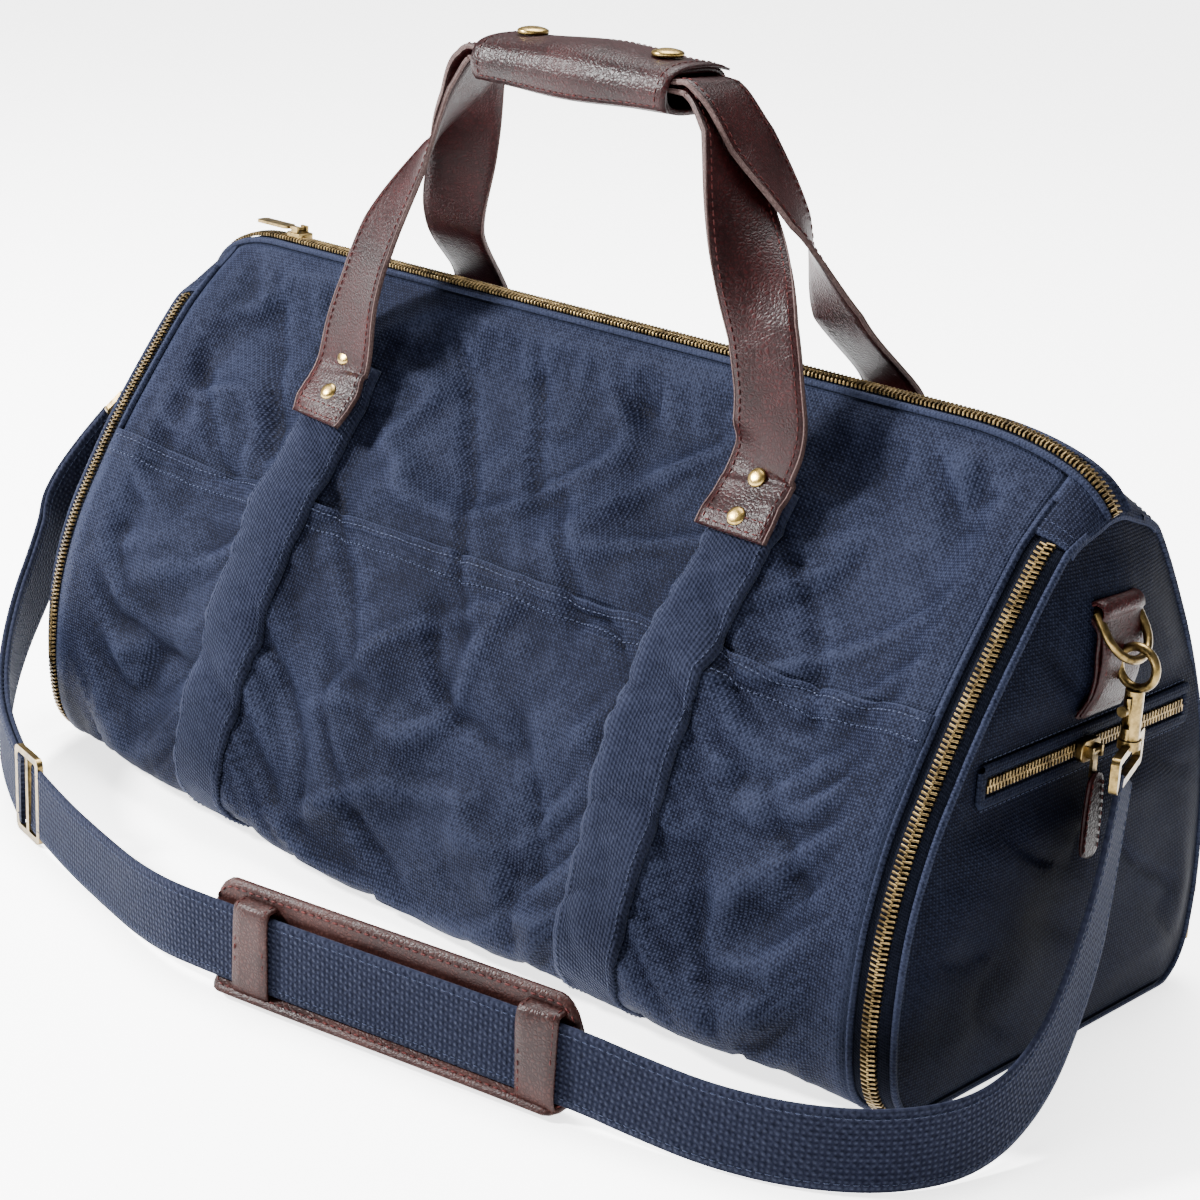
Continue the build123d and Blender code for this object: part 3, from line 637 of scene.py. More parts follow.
def locate(row, col):
    """Points and normals of the body surface at fractional rows and columns."""
    row = np.clip(np.asarray(row, float), 0, ROWS - 1.001)
    col = np.asarray(col, float) % COLUMNS
    i, j = row.astype(int), col.astype(int)
    fi, fj = (row - i)[..., None], (col - j)[..., None]
    jn = (j + 1) % COLUMNS

    def mix(field):
        a = field[i, j] * (1 - fi) + field[i + 1, j] * fi
        b = field[i, jn] * (1 - fi) + field[i + 1, jn] * fi
        return a * (1 - fj) + b * fj

    return mix(GRID), unit(mix(NORMALS))


def row_at(x):
    return np.interp(x, ROW_X, np.arange(ROWS))


def col_at(z, front=True, x=0.0):
    """Column where the unwrinkled section at x crosses a height."""
    half = COLUMNS // 2
    row = int(round(float(row_at(x))))
    zs = SMOOTH_GRID[row, : half + 1, 2]
    start = int(np.argmin(zs[: half // 2]))
    rise = np.maximum.accumulate(zs[start:] + np.arange(half + 1 - start) * 1e-7)
    col = np.interp(z, rise, np.arange(start, half + 1))
    return col if front else COLUMNS - col


def lay(name, rows, cols, lift, thick, material, slot, *nodes, turn=False):
    """A sheet laid on the body over fractional rows and columns, its outer face lifted by lift."""
    r, c = np.meshgrid(rows, cols, indexing="ij")
    points, normals = locate(r, c)
    height = lift(points) if callable(lift) else lift
    outer = points + normals * (height[..., None] if callable(lift) else height)
    u = np.interp(r, np.arange(ROWS), ROW_S)
    step = CURVE_S[1] - CURVE_S[0]
    v = c * step
    uv = np.stack([v, u] if turn else [u, v], -1)
    return put(slab(name, outer, normals, thick, uv, material), "bag", slot, *nodes)


def put(obj, body, slot, *nodes):
    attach(obj, body)
    if nodes:
        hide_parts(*nodes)
    return obj


HALF = COLUMNS // 2
ROW_LEFT, ROW_RIGHT = row_at(-PANEL_EDGE), row_at(PANEL_EDGE)
BODY_ROWS = np.arange(math.ceil(ROW_LEFT), math.floor(ROW_RIGHT) + 1).astype(float)
BODY_ROWS = np.concatenate([[ROW_LEFT], BODY_ROWS[1:-1], [ROW_RIGHT]])
RIDGE_GAP = 2.2
FOOT_COL = col_at(FOOT_Z)

def body_panels():
    front_cols = np.linspace(FOOT_COL, HALF - RIDGE_GAP, 108)
    back_cols = np.linspace(HALF + RIDGE_GAP, COLUMNS - FOOT_COL, 108)
    front = lay("canvas_front", BODY_ROWS, front_cols, 0.0, CANVAS_THICK, CANVAS, "canvas", "front_panel")
    back = lay("canvas_back", BODY_ROWS, back_cols, 0.0, CANVAS_THICK, CANVAS, "canvas", "back_panel")
    base_cols = np.linspace(COLUMNS - FOOT_COL, COLUMNS + FOOT_COL, 40)
    lay("canvas_base", BODY_ROWS, base_cols, -0.0003, CANVAS_THICK, CANVAS, "canvas", "base_panel")
    inner = GRID - NORMALS * 0.0055
    rows = range(4, ROWS - 4, 2)
    cols = list(range(int(HALF + RIDGE_GAP + 2), int(COLUMNS + HALF - RIDGE_GAP - 2), 2))
    points = inner[list(rows)][:, [c % COLUMNS for c in cols]]
    normals = NORMALS[list(rows)][:, [c % COLUMNS for c in cols]]
    uv = points[..., :2]
    put(slab("lining_cloth", points, normals, 0.0008, uv, LINING), "bag", "lining", "lining")


def front_pocket():
    """Full-width slip pocket: a second layer of canvas with a folded hem and two rows of stitching."""
    top = col_at(POCKET_TOP)
    low_cols = np.linspace(col_at(0.010), top - 4, 50, endpoint=False)
    cols = np.concatenate([low_cols, np.linspace(top - 4, top, 30)])

    def lift(points):
        return 0.0024 + 0.0006 * smooth_step(points[..., 2], POCKET_TOP - 0.0125, POCKET_TOP - 0.0115)

    pocket = lay("pocket_front", BODY_ROWS, cols, lift, 0.0011, CANVAS, "canvas", "front_pocket")
    lines = []
    for down in (0.0030, 0.0105):
        rows = np.linspace(ROW_LEFT + 0.3, ROW_RIGHT - 0.3, 400)
        points, normals = locate(rows, np.full(400, col_at(POCKET_TOP - down)))
        lines.append((points + normals * 0.0031, normals))
    put(stitches("pocket_stitches", lines, THREAD, 0.0032, 0.00030), "bag", "canvas")


def over_pocket(points):
    front = points[..., 1] < 0
    on_pocket = (1 - smooth_step(points[..., 2], POCKET_TOP - 0.002, POCKET_TOP + 0.006)) * front
    return 0.0026 + 0.0019 * on_pocket


def webbing_band(side, name):
    """Cotton webbing from the front leather tab down, under the base and up the back."""
    centre = side * STRAP_X
    rows = row_at(centre + np.linspace(-0.5, 0.5, 13) * WEBBING)
    start = col_at(0.236)
    cols = np.linspace(-start, start, 250)
    lay(name, rows, cols, over_pocket, 0.0021, WEB, "webbing", f"webbing_{name[8:]}", turn=True)
    lines = []
    for offset in (-0.0155, 0.0155):
        c = np.linspace(3, start, 500)
        points, normals = locate(np.full(500, row_at(centre + offset)), c)
        points = points + normals * (over_pocket(points) + 0.0001)[..., None]
        lines.append((points, normals))
        points, normals = locate(np.full(500, row_at(centre + offset)), -c)
        lines.append((points + normals * (over_pocket(points) + 0.0001)[..., None], normals))
    put(stitches(f"{name}_stitches", lines, THREAD, 0.0034, 0.00030), "bag", "webbing")


# ---------------------------------------------------------------- zips
TOOTH = np.array(
    [
        [-0.5, -0.50, 0.0], [0.5, -0.50, 0.0], [0.5, 0.50, 0.0], [-0.5, 0.50, 0.0],
        [-0.36, -0.46, 1.0], [0.36, -0.46, 1.0], [0.42, 0.42, 0.86], [-0.42, 0.42, 0.86],
    ]
)
TOOTH_FACES = [(0, 3, 2, 1), (4, 5, 6, 7), (0, 1, 5, 4), (1, 2, 6, 5), (2, 3, 7, 6), (3, 0, 4, 7)]


def tooth_rows(name, points, normals, body, width=0.0048, tall=0.0019, *nodes):
    """Two interleaved rows of metal teeth along a line."""
    length = arc_positions(points)[-1]
    count = int(length / TOOTH_PITCH)
    p = resample(points, 2 * count + 1)
    n = unit(resample(normals, 2 * count + 1))
    t = along(p)
    frames = []
    for k in range(2 * count + 1):
        side = 1 if k % 2 else -1
        up = unit(n[k] - t[k] * np.dot(n[k], t[k]))
        across = np.cross(up, t[k]) * side
        slant = unit(across + t[k] * 0.16)
        origin = p[k] + across * width * 0.30
        frames.append((origin, t[k] * TOOTH_PITCH * 0.54, slant * width * 0.92, up * tall))
    obj = merge_template(name, TOOTH, TOOTH_FACES, frames, BRASS_DARK, smooth=False)
    bevel = obj.modifiers.new("Bevel", "BEVEL")
    bevel.width = 0.00022
    bevel.segments = 1
    return put(obj, body, "brass", *nodes)


def side_path(word, count=700):
    """The line of an end zip: down the front corner, along the foot and up the back corner."""
    sign = 1 if word == "right" else -1
    row = row_at(sign * ZIP_X)
    top = col_at(SIDE_ZIP_TOP, x=sign * ZIP_X)
    cols = np.linspace(-top, top, count)
    return locate(np.full(count, row), cols)


def piping(name, row, cols, lift, radius, material):
    points, normals = locate(np.full(len(cols), row), cols)
    obj = sweep(name, points + normals * lift, normals, ring_section(radius, 8), material)
    return put(obj, "bag", "canvas")


def side_zip(word):
    sign = 1 if word == "right" else -1
    points, normals = side_path(word)
    inner, outer = (row_at(sign * x) for x in ZIP_BAND)
    rows = np.linspace(min(inner, outer), max(inner, outer), 12)
    top = col_at(SIDE_ZIP_TOP, x=sign * ZIP_X)
    tape_cols = np.linspace(-top - 2, top + 2, 230)
    lay(
        f"zip_band_{word}", rows, tape_cols, -0.0012, 0.0010, TAPE, "zip_tape", f"side_zip_tapes_{word}",
        turn=True
    )
    tooth_rows(
        f"zip_teeth_side_{word}", points - normals * 0.0010, normals, "bag", 0.0050, 0.0020,
        f"side_zip_teeth_{word}"
    )
    # folded canvas edges that stand up on both sides of the zip
    edge_cols = np.linspace(-top - 5, top + 5, 260)
    for key, x, lift, radius in (("a", 0.2790, 0.0002, 0.0018), ("b", 0.2972, 0.0, 0.0017)):
        piping(f"zip_fold_{word}_{key}", row_at(sign * x), edge_cols, lift, radius, CANVAS)
    # canvas cap over the top corner
    cap_cols = np.linspace(top + 0.6, COLUMNS - top - 0.6, 70)
    lay(f"corner_cap_{word}", rows, cap_cols, 0.0008, CANVAS_THICK, CANVAS, "canvas", f"end_cap_{word}")
    line_rows = np.linspace(rows[1], rows[-2], 30)
    lines = []
    for front in (True, False):
        for step in (1.2, 2.6):
            c = top + step if front else COLUMNS - top - step
            p, n = locate(line_rows, np.full(30, c))
            lines.append((p + n * 0.0009, n))
    put(stitches(f"cap_stitches_{word}", lines, THREAD, 0.0032, 0.0003), "bag", "canvas")


def top_zip():
    count = 700
    ridge = np.full(count, HALF - 0.7)
    rows = np.linspace(row_at(-RIDGE_ZIP_END), row_at(RIDGE_ZIP_END), count)
    points, normals = locate(rows, ridge)
    tooth_rows(
        "zip_teeth_top", points + normals * 0.0006, normals, "bag", 0.0050, 0.0021,
        "top_zip_teeth_front", "top_zip_teeth_back",
    )
    tape_rows = np.linspace(row_at(-RIDGE_ZIP_END), row_at(RIDGE_ZIP_END), 150)
    tape_cols = np.linspace(HALF - RIDGE_GAP - 0.6, HALF + RIDGE_GAP + 0.6, 15)
    lay("zip_band_top", tape_rows, tape_cols, -0.0004, 0.0010, TAPE, "zip_tape", "top_zip_tapes", turn=True)
    for key, col in (("front", HALF - RIDGE_GAP + 0.2), ("back", HALF + RIDGE_GAP - 0.2)):
        r = np.linspace(row_at(-RIDGE_ZIP_END), row_at(RIDGE_ZIP_END), 260)
        p, n = locate(r, np.full(260, col))
        obj = sweep(f"ridge_fold_{key}", p + n * 0.0006, n, ring_section(0.0017, 8), CANVAS)
        put(obj, "bag", "canvas")


# ---------------------------------------------------------------- end panels
END_RINGS = 34


def end_surface(sign):
    """Outer face of an end panel: rings drawn in from the end zip, crowned, dented, flat at the pocket."""
    row = 1.6 if sign < 0 else ROWS - 2.6
    cols = np.arange(COLUMNS)
    edge, _ = locate(np.full(COLUMNS, row), cols)
    centre = np.array([sign * 0.300, 0.004, 0.128])
    points = np.zeros((END_RINGS, COLUMNS, 3))
    for k in range(END_RINGS):
        t = 1 - (k / (END_RINGS - 1)) * 0.985
        ring = centre + (edge - centre) * t
        crown = 0.0075 * (1 - t**2.2) + 0.0015 * (1 - t)
        ring[:, 0] = edge[:, 0] * t**6 + sign * 0.2995 * (1 - t**6) + sign * crown
        for j in range(COLUMNS):
            y, z = ring[j, 1], ring[j, 2]
            fade = smooth_step(1 - t, 0.04, 0.25)
            dent = fbm(y * 11.0 + sign, z * 11.0, 2.2, 2) * 0.0042
            fold = fbm((y * 0.5 + z * 0.86) * 20.0, (y * 0.86 - z * 0.5) * 7.0, 6.6, 2)
            fold = -0.0026 * max(0.0, 1 - abs(fold) * 4.5) ** 2
            ring[j, 0] += sign * fade * (dent + fold)
            if sign > 0:
                flat = math.exp(-(((z - 0.150) / 0.024) ** 4)) * (1 - smooth_step(abs(y), 0.086, 0.104))
                ring[j, 0] += flat * (0.2988 - ring[j, 0])
        points[k] = ring
    return points


def end_panel(word):
    """The end panel as a closed sheet of canvas, in the darker canvas copy that paints shade on the ends.
    """
    sign = 1 if word == "right" else -1
    points = end_surface(sign)
    du = np.gradient(points, axis=0)
    dv = (np.roll(points, -1, axis=1) - np.roll(points, 1, axis=1)) / 2
    normals = unit(np.cross(du, dv))
    if normals[5, 5, 0] * sign < 0:
        normals = -normals
    n = END_RINGS * COLUMNS
    verts = np.vstack([points.reshape(-1, 3), (points - normals * CANVAS_THICK).reshape(-1, 3)])
    top = grid_faces(END_RINGS, COLUMNS, wrap=True)
    flip = sign < 0
    faces = []
    for f in top:
        faces.append(tuple(f[::-1]) if flip else tuple(f))
        faces.append(tuple(f + n) if flip else tuple(f[::-1] + n))
    for j in range(COLUMNS):
        jn = (j + 1) % COLUMNS
        rim = (j, j + n, jn + n, jn)
        faces.append(rim[::-1] if flip else rim)
    last = (END_RINGS - 1) * COLUMNS
    hub = tuple(last + j for j in range(COLUMNS))
    faces.append(hub if flip else hub[::-1])
    faces.append(tuple(i + n for i in (hub[::-1] if flip else hub)))
    uv = np.vstack([points.reshape(-1, 3)[:, 1:]] * 2)
    obj = new_mesh(f"canvas_end_{word}", verts, faces, uv, True, CANVAS_END_PAINTED_SHADE)
    put(obj, "bag", "canvas", f"end_panel_{word}")
    return points


def end_height(points, y, z):
    """x of an end panel's outer face over (y, z), by nearest grid points."""
    flat = points.reshape(-1, 3)
    d = (flat[:, 1] - y) ** 2 + (flat[:, 2] - z) ** 2
    near = np.argsort(d)[:6]
    w = 1 / (d[near] + 1e-7)
    return float(np.sum(flat[near, 0] * w) / np.sum(w))


# ---------------------------------------------------------------- camera, light, floor
CAMERA_TARGET = np.array([-0.0315, 0.0433, 0.1168])
CAMERA_ANGLES = (43.1, 18.8, 2.7)
CAMERA_DISTANCE = 1.4
CAMERA_LENS = 79.8
LAMPS = (
    ("key", (-1.5, -1.5, 1.5), (0, 0, 0.15), 0.42, 330),
    ("fill", (1.6, -1.6, 0.9), (0, 0, 0.15), 1.4, 2),
    ("top", (-0.2, 0.4, 2.3), (0, 0, 0.0), 2.4, 130),
)
FLOOR_HALF = 20
FLOOR_Z = -0.0005


def link_object(name, data):
    obj = bpy.data.objects.new(name, data)
    bpy.context.scene.collection.objects.link(obj)
    return obj


def place_camera():
    """Camera at the photo's azimuth, elevation and roll."""
    azimuth, elevation, roll = (math.radians(a) for a in CAMERA_ANGLES)
    level = math.cos(elevation)
    back = np.array([math.sin(azimuth) * level, -math.cos(azimuth) * level, math.sin(elevation)])
    right = np.array([math.cos(azimuth), math.sin(azimuth), 0])
    up = np.cross(back, right)
    right_rolled = math.cos(roll) * right + math.sin(roll) * up
    up_rolled = -math.sin(roll) * right + math.cos(roll) * up
    data = bpy.data.cameras.new("camera")
    data.sensor_width = 36
    data.lens = CAMERA_LENS
    camera = link_object("camera", data)
    turned = Matrix((right_rolled, up_rolled, back)).transposed().to_4x4()
    camera.matrix_world = Matrix.Translation(CAMERA_TARGET + back * CAMERA_DISTANCE) @ turned
    bpy.context.scene.camera = camera


def place_lights():
    """White surroundings, a wide sun and three soft lamps."""
    world = bpy.data.worlds.new("studio")
    bpy.context.scene.world = world
    world.use_nodes = True
    background = world.node_tree.nodes["Background"]
    background.inputs[0].default_value = (1.0, 1.0, 1.0, 1)
    background.inputs[1].default_value = 0.24
    sun_data = bpy.data.lights.new("sky", "SUN")
    sun_data.energy = 5.5
    sun_data.angle = math.radians(28)
    sun = link_object("sky", sun_data)
    sun.rotation_euler = (math.radians(-14), math.radians(-16), 0)
    for name, place, target, size, power in LAMPS:
        lamp = bpy.data.lights.new(name, "AREA")
        lamp.shape = "DISK"
        lamp.size = size
        lamp.energy = power
        light = link_object(name, lamp)
        light.location = place
        light.rotation_euler = (Vector(target) - Vector(place)).to_track_quat("-Z", "Y").to_euler()


def place_floor():
    material, tree, shader = nodes_of("floor_white")
    tone = ramp(tree, grain(tree, 3.0, 2.0), [(0.3, (0.95, 0.95, 0.95)), (0.7, (0.96, 0.96, 0.96))])
    link(tree, tone, shader.inputs["Base Color"])
    shader.inputs["Roughness"].default_value = 0.9
    shader.inputs["Emission Color"].default_value = (1, 1, 1, 1)
    shader.inputs["Emission Strength"].default_value = 2.6
    corners = [(-1, -1), (1, -1), (1, 1), (-1, 1)]
    verts = [(x * FLOOR_HALF, y * FLOOR_HALF, FLOOR_Z) for x, y in corners]
    new_mesh("floor", verts, [(0, 1, 2, 3)], None, False, material)


place_camera()
place_lights()
place_floor()
body_panels()
front_pocket()
webbing_band(-1, "webbing_left")
webbing_band(1, "webbing_right")
top_zip()
END_POINTS = {}
for word in ("right", "left"):
    side_zip(word)
    END_POINTS[word] = end_panel(word)

# ---------------------------------------------------------------- leather handles
GRIP = np.array([0.0, -0.009, 0.4015])
FLAP_PATH = [
    (0.0215, 0.0088), (0.0120, 0.0108), (0.0, 0.0114), (-0.0120, 0.0104), (-0.0205, 0.0066),
    (-0.0246, -0.0010), (-0.0243, -0.0085), (-0.0215, -0.0132),
]


def tab_line(side, front, count=40):
    """Centre line of a leather tab on the body, from its lower end up, and its normals."""
    low, high = col_at(0.208), col_at(0.240)
    cols = np.linspace(low, high, count)
    if not front:
        cols = COLUMNS - cols
    points, normals = locate(np.full(count, row_at(side * STRAP_X)), cols)
    return points + normals * 0.0050, normals


def handle_line(front):
    """Whole centre line of one handle: left tab, left leg, grip, right leg, right tab."""
    lean = -1 if front else 1
    left, left_n = tab_line(-1, front)
    right, right_n = tab_line(1, front)
    level = 0.3995 if front else 0.4035
    y0 = GRIP[1]
    reach = 0.0 if front else 0.006
    knots = [
        ((-0.136, left[-1][1] + lean * 0.001, 0.266), (-0.10, lean, 0.25)),
        ((-0.123, y0 + lean * 0.026, 0.304), (-0.30, lean, 0.10)),
        ((-0.101 - reach, y0 + lean * 0.016, 0.346), (-0.70, lean * 0.8, 0.15)),
        ((-0.084 - reach, y0 + lean * 0.005, 0.380), (-1.0, lean * 0.25, 0.35)),
        ((-0.073 - reach * 0.6, y0, level - 0.003), (-0.7, lean * 0.02, 0.9)),
        ((-0.055, y0, level), (0, 0, 1)),
        ((0.055, y0, level), (0, 0, 1)),
        ((0.073 + reach * 0.6, y0, level - 0.003), (0.7, 0.06, 0.9)),
        ((0.087 + reach, y0 + lean * 0.005, 0.380), (1.0, 0.10, 0.35)),
        ((0.109 + reach, y0 + lean * 0.016, 0.346), (0.85, lean * 0.45, 0.15)),
        ((0.133, y0 + lean * 0.026, 0.304), (0.22, lean, 0.10)),
        ((0.143, right[-1][1] + lean * 0.001, 0.266), (0.10, lean, 0.25)),
    ]
    points = [*left[::8], *[k[0] for k in knots], *right[::-8]]
    normals = [*left_n[::8], *[unit(k[1]) for k in knots], *right_n[::-8]]
    points, normals = np.array(points), np.array(normals)
    line = curve_through(points, 400)
    s_knots = arc_positions(points)
    s_line = np.linspace(0, s_knots[-1], 400)
    n = unit(np.stack([np.interp(s_line, s_knots, normals[:, i]) for i in range(3)], 1))
    return line, n


def soft_ride(obj, slot_name, *nodes):
    """A handle piece, from tab to tab: its transform is baked into the mesh and the model parts it stands
    for are hidden.
    """
    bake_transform(obj)
    if nodes:
        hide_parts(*nodes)
    return obj


def handle(front):
    word = "front" if front else "back"
    line, normals = handle_line(front)
    tangents = along(line)
    normals = unit(normals - tangents * np.sum(normals * tangents, axis=1)[:, None])
    across = np.cross(tangents, normals)
    section = flat_section(LEATHER_WIDE, 0.0028, 9)
    s = arc_positions(line)
    slim = 1 - 0.13 * smooth_step(s, 0.045, 0.075) * smooth_step(s[-1] - s, 0.045, 0.075)
    obj = sweep(f"handle_strap_{word}", line + normals * 0.0003, normals, section, HIDE, widths=slim)
    soft_ride(obj, "leather", f"handle_{word}", f"handle_flex_{word}", f"handle_tabs_{word}")
    rim_section = flat_section(0.0008, 0.0024, 3)
    for side in (-1, 1):
        rim = line + across * side * (LEATHER_WIDE / 2 * slim[:, None] - 0.0001) + normals * 0.0003
        soft_ride(sweep(f"handle_edge_{word}_{side + 1}", rim, normals, rim_section, EDGE), "leather")
    lines = []
    for side in (-1, 1):
        row = line + across * side * (0.0165 * slim[:, None]) + normals * 0.0018
        lines.append((row[2:-2], normals[2:-2]))
    for end in (slice(0, 1), slice(-1, None)):
        for step in (2.0, 6.0):
            k = int(step) if end.start == 0 else int(-1 - step)
            a = line[k] - across[k] * 0.0160 + normals[k] * 0.0018
            b = line[k] + across[k] * 0.0160 + normals[k] * 0.0018
            lines.append((np.array([a, (a + b) / 2, b]), np.array([normals[k]] * 3)))
    soft_ride(stitches(f"handle_stitches_{word}", lines, THREAD_RED, 0.0040, 0.00042), "leather")
    return line, normals


handle(True)
handle(False)


def frame_at(point, normal):
    side = unit(np.cross(normal, [1.0, 0.0, 0.0]))
    return point, unit(np.cross(side, normal)), side, normal


def rivets():
    frames = []
    for front in (True, False):
        for side in (-1, 1):
            line, normals = tab_line(side, front)
            s = arc_positions(line)
            for down in (0.36, 0.86):
                k = int(np.searchsorted(s, s[-1] * down))
                frames.append(frame_at(line[k] + normals[k] * 0.0012, normals[k]))
    outline = [
        (0, -0.001), (0.0047, -0.001), (0.0048, 0.0004), (0.0044, 0.0012), (0.0034, 0.0018),
        (0.0018, 0.0021), (0, 0.0022)
    ]
    put(lathe("rivet_caps", outline, frames, BRASS_LIGHT), "bag", "brass", "handle_rivets")


rivets()


# ---------------------------------------------------------------- grip
def grip_wrap():
    """Leather wrap round both straps."""
    count = 41
    x = np.linspace(-0.062, 0.062, count)
    centre = np.stack([x, np.full(count, GRIP[1]), np.full(count, GRIP[2] - 0.0030)], 1)
    a = np.linspace(0, 2 * math.pi, 44, endpoint=False)
    wide = np.sign(np.cos(a)) * np.abs(np.cos(a)) ** 0.55 * 0.0222
    tall = np.sign(np.sin(a)) * np.abs(np.sin(a)) ** 0.75 * 0.0112
    rounded = np.stack([wide, tall], 1)
    ring = []
    for k in range(count):
        end = abs(x[k]) / 0.062
        ring.append(rounded * (1 + 0.02 * math.cos(end * 3.1) - 0.02 * end**8))
    tube = np.array(ring)
    pts = centre[:, None] + np.stack([np.zeros_like(tube[..., 0]), tube[..., 0], tube[..., 1]], -1)
    rows, cols = pts.shape[:2]
    inner = centre[:, None] + (pts - centre[:, None]) * np.array([1, 0.9, 0.74])
    n = rows * cols
    verts = np.vstack([pts.reshape(-1, 3), inner.reshape(-1, 3)])
    side_faces = grid_faces(rows, cols, wrap=True)
    faces = [tuple(f) for f in side_faces] + [tuple(f[::-1] + n) for f in side_faces]
    for j in range(cols):
        jn = (j + 1) % cols
        faces.append((j, jn, jn + n, j + n))
        last = (rows - 1) * cols
        faces.append((last + jn, last + j, last + j + n, last + jn + n))
    uv = np.vstack([pts.reshape(-1, 3)[:, :2]] * 2)
    wrap = new_mesh("grip_leather", verts, faces, uv, True, HIDE)
    put(wrap, "handles", "leather", "grip_wrap")


def grip_flap():
    """Flap over the top and down the front, its ends bowed, with two snaps on top."""
    rows_f, cols_f = 49, 33
    fx = np.linspace(-0.0640, 0.0640, rows_f)
    path = curve_through(FLAP_PATH, cols_f)
    slope = along(path)
    outward = np.stack([slope[:, 1], -slope[:, 0]], 1)
    outer = np.zeros((rows_f, cols_f, 3))
    normals = np.zeros((rows_f, cols_f, 3))
    for i in range(rows_f):
        near_end = abs(fx[i]) / 0.064
        puff = 0.0012 * math.cos(fx[i] * 62) - 0.0010 * near_end**6
        for j in range(cols_f):
            back = 1 - smooth_step(j, 0, 9)
            bend = 0.0022 * back * math.cos(fx[i] * 48) * (1 - near_end**4)
            y, z = path[j] + outward[j] * puff
            outer[i, j] = (fx[i] * (1 - 0.02 * smooth_step(j, 22, 32)), GRIP[1] + y + bend, GRIP[2] + z)
            normals[i, j] = (0, *outward[j])
    flap = slab("grip_flap_leather", outer, normals, 0.0020, outer[..., :2], HIDE)
    put(flap, "grip_flap", "leather", "grip_flap")
    lines = []
    inset = 2
    loop = (
        [(i, cols_f - 1 - inset) for i in range(inset, rows_f - inset)]
        + [(rows_f - 1 - inset, j) for j in range(cols_f - 1 - inset, inset - 1, -1)]
        + [(i, inset) for i in range(rows_f - 1 - inset, inset - 1, -1)]
        + [(inset, j) for j in range(inset, cols_f - inset)]
    )
    p = np.array([outer[i, j] for i, j in loop])
    m = np.array([normals[i, j] for i, j in loop])
    lines.append((p + m * 0.0001, m))
    put(stitches("grip_stitches", lines, THREAD_RED, 0.0040, 0.00032), "grip_flap", "leather")
    axes = np.eye(3)
    frames = [(np.array([side * 0.044, GRIP[1], GRIP[2] + 0.0118]), *axes) for side in (-1, 1)]
    outline = [
        (0, -0.001), (0.0076, -0.001), (0.0078, 0.0003), (0.0074, 0.0010), (0.0060, 0.0017),
        (0.0035, 0.0023), (0, 0.0025)
    ]
    put(lathe("snap_domes", outline, frames, BRASS_LIGHT, 32), "grip_flap", "brass", "snap_caps")


grip_wrap()
grip_flap()

# ---------------------------------------------------------------- end fittings
TAB_HEIGHTS = (0.167, 0.178, 0.188, 0.200)
RING_BAR = (0.3065, 0.214)


def end_tab(word):
    """Leather tab folded over the ring's bar and sewn to the end panel."""
    sign = 1 if word == "right" else -1
    ring_x, z_bar = sign * RING_BAR[0], RING_BAR[1]
    levels = np.linspace(0.166, 0.206, 5)
    face = [end_height(END_POINTS[word], 0.0, z) for z in levels]
    path = [(x + sign * 0.0022, z) for x, z in zip(face, levels)]
    for angle in np.linspace(math.radians(200), math.radians(-40), 9):
        path.append((ring_x + sign * math.cos(angle) * 0.0042, z_bar + math.sin(angle) * 0.0042))
    front = zip(face, (0.0044, 0.0044, 0.0046, 0.0052), TAB_HEIGHTS)
    path += [(x + sign * rise, z) for x, rise, z in front][::-1]
    points = curve_through([(x, 0.0, z) for x, z in path], 90)
    tangents = along(points)
    normals = np.cross(tangents, np.tile([0.0, -1.0 * sign, 0.0], (90, 1)))
    obj = sweep(f"ring_tab_{word}", points, normals, flat_section(0.030, 0.0022, 7), HIDE)
    put(obj, "bag", "leather", f"d_ring_tab_{word}")
    out = np.array([sign * 1.0, 0, 0])
    seam_x = [face[k] + sign * rise for k, rise in enumerate((0.0054, 0.0054, 0.0055, 0.0061))]
    lines = []
    for y in (-0.0122, 0.0122):
        z = np.linspace(0.169, 0.202, 20)
        x = np.interp(z, TAB_HEIGHTS, seam_x)
        lines.append((np.stack([x, np.full(20, y), z], 1), np.tile(out, (20, 1))))
    for z in (0.170, 0.199):
        y = np.linspace(-0.0122, 0.0122, 9)
        x = np.interp(z, TAB_HEIGHTS, seam_x)
        lines.append((np.stack([np.full(9, x), y, np.full(9, z)], 1), np.tile(out, (9, 1))))
    put(stitches(f"ring_tab_stitches_{word}", lines, THREAD_RED, 0.0036, 0.00040), "bag", "leather")


POCKET_ZIP_Z = 0.150
POCKET_ZIP_HALF = 0.076


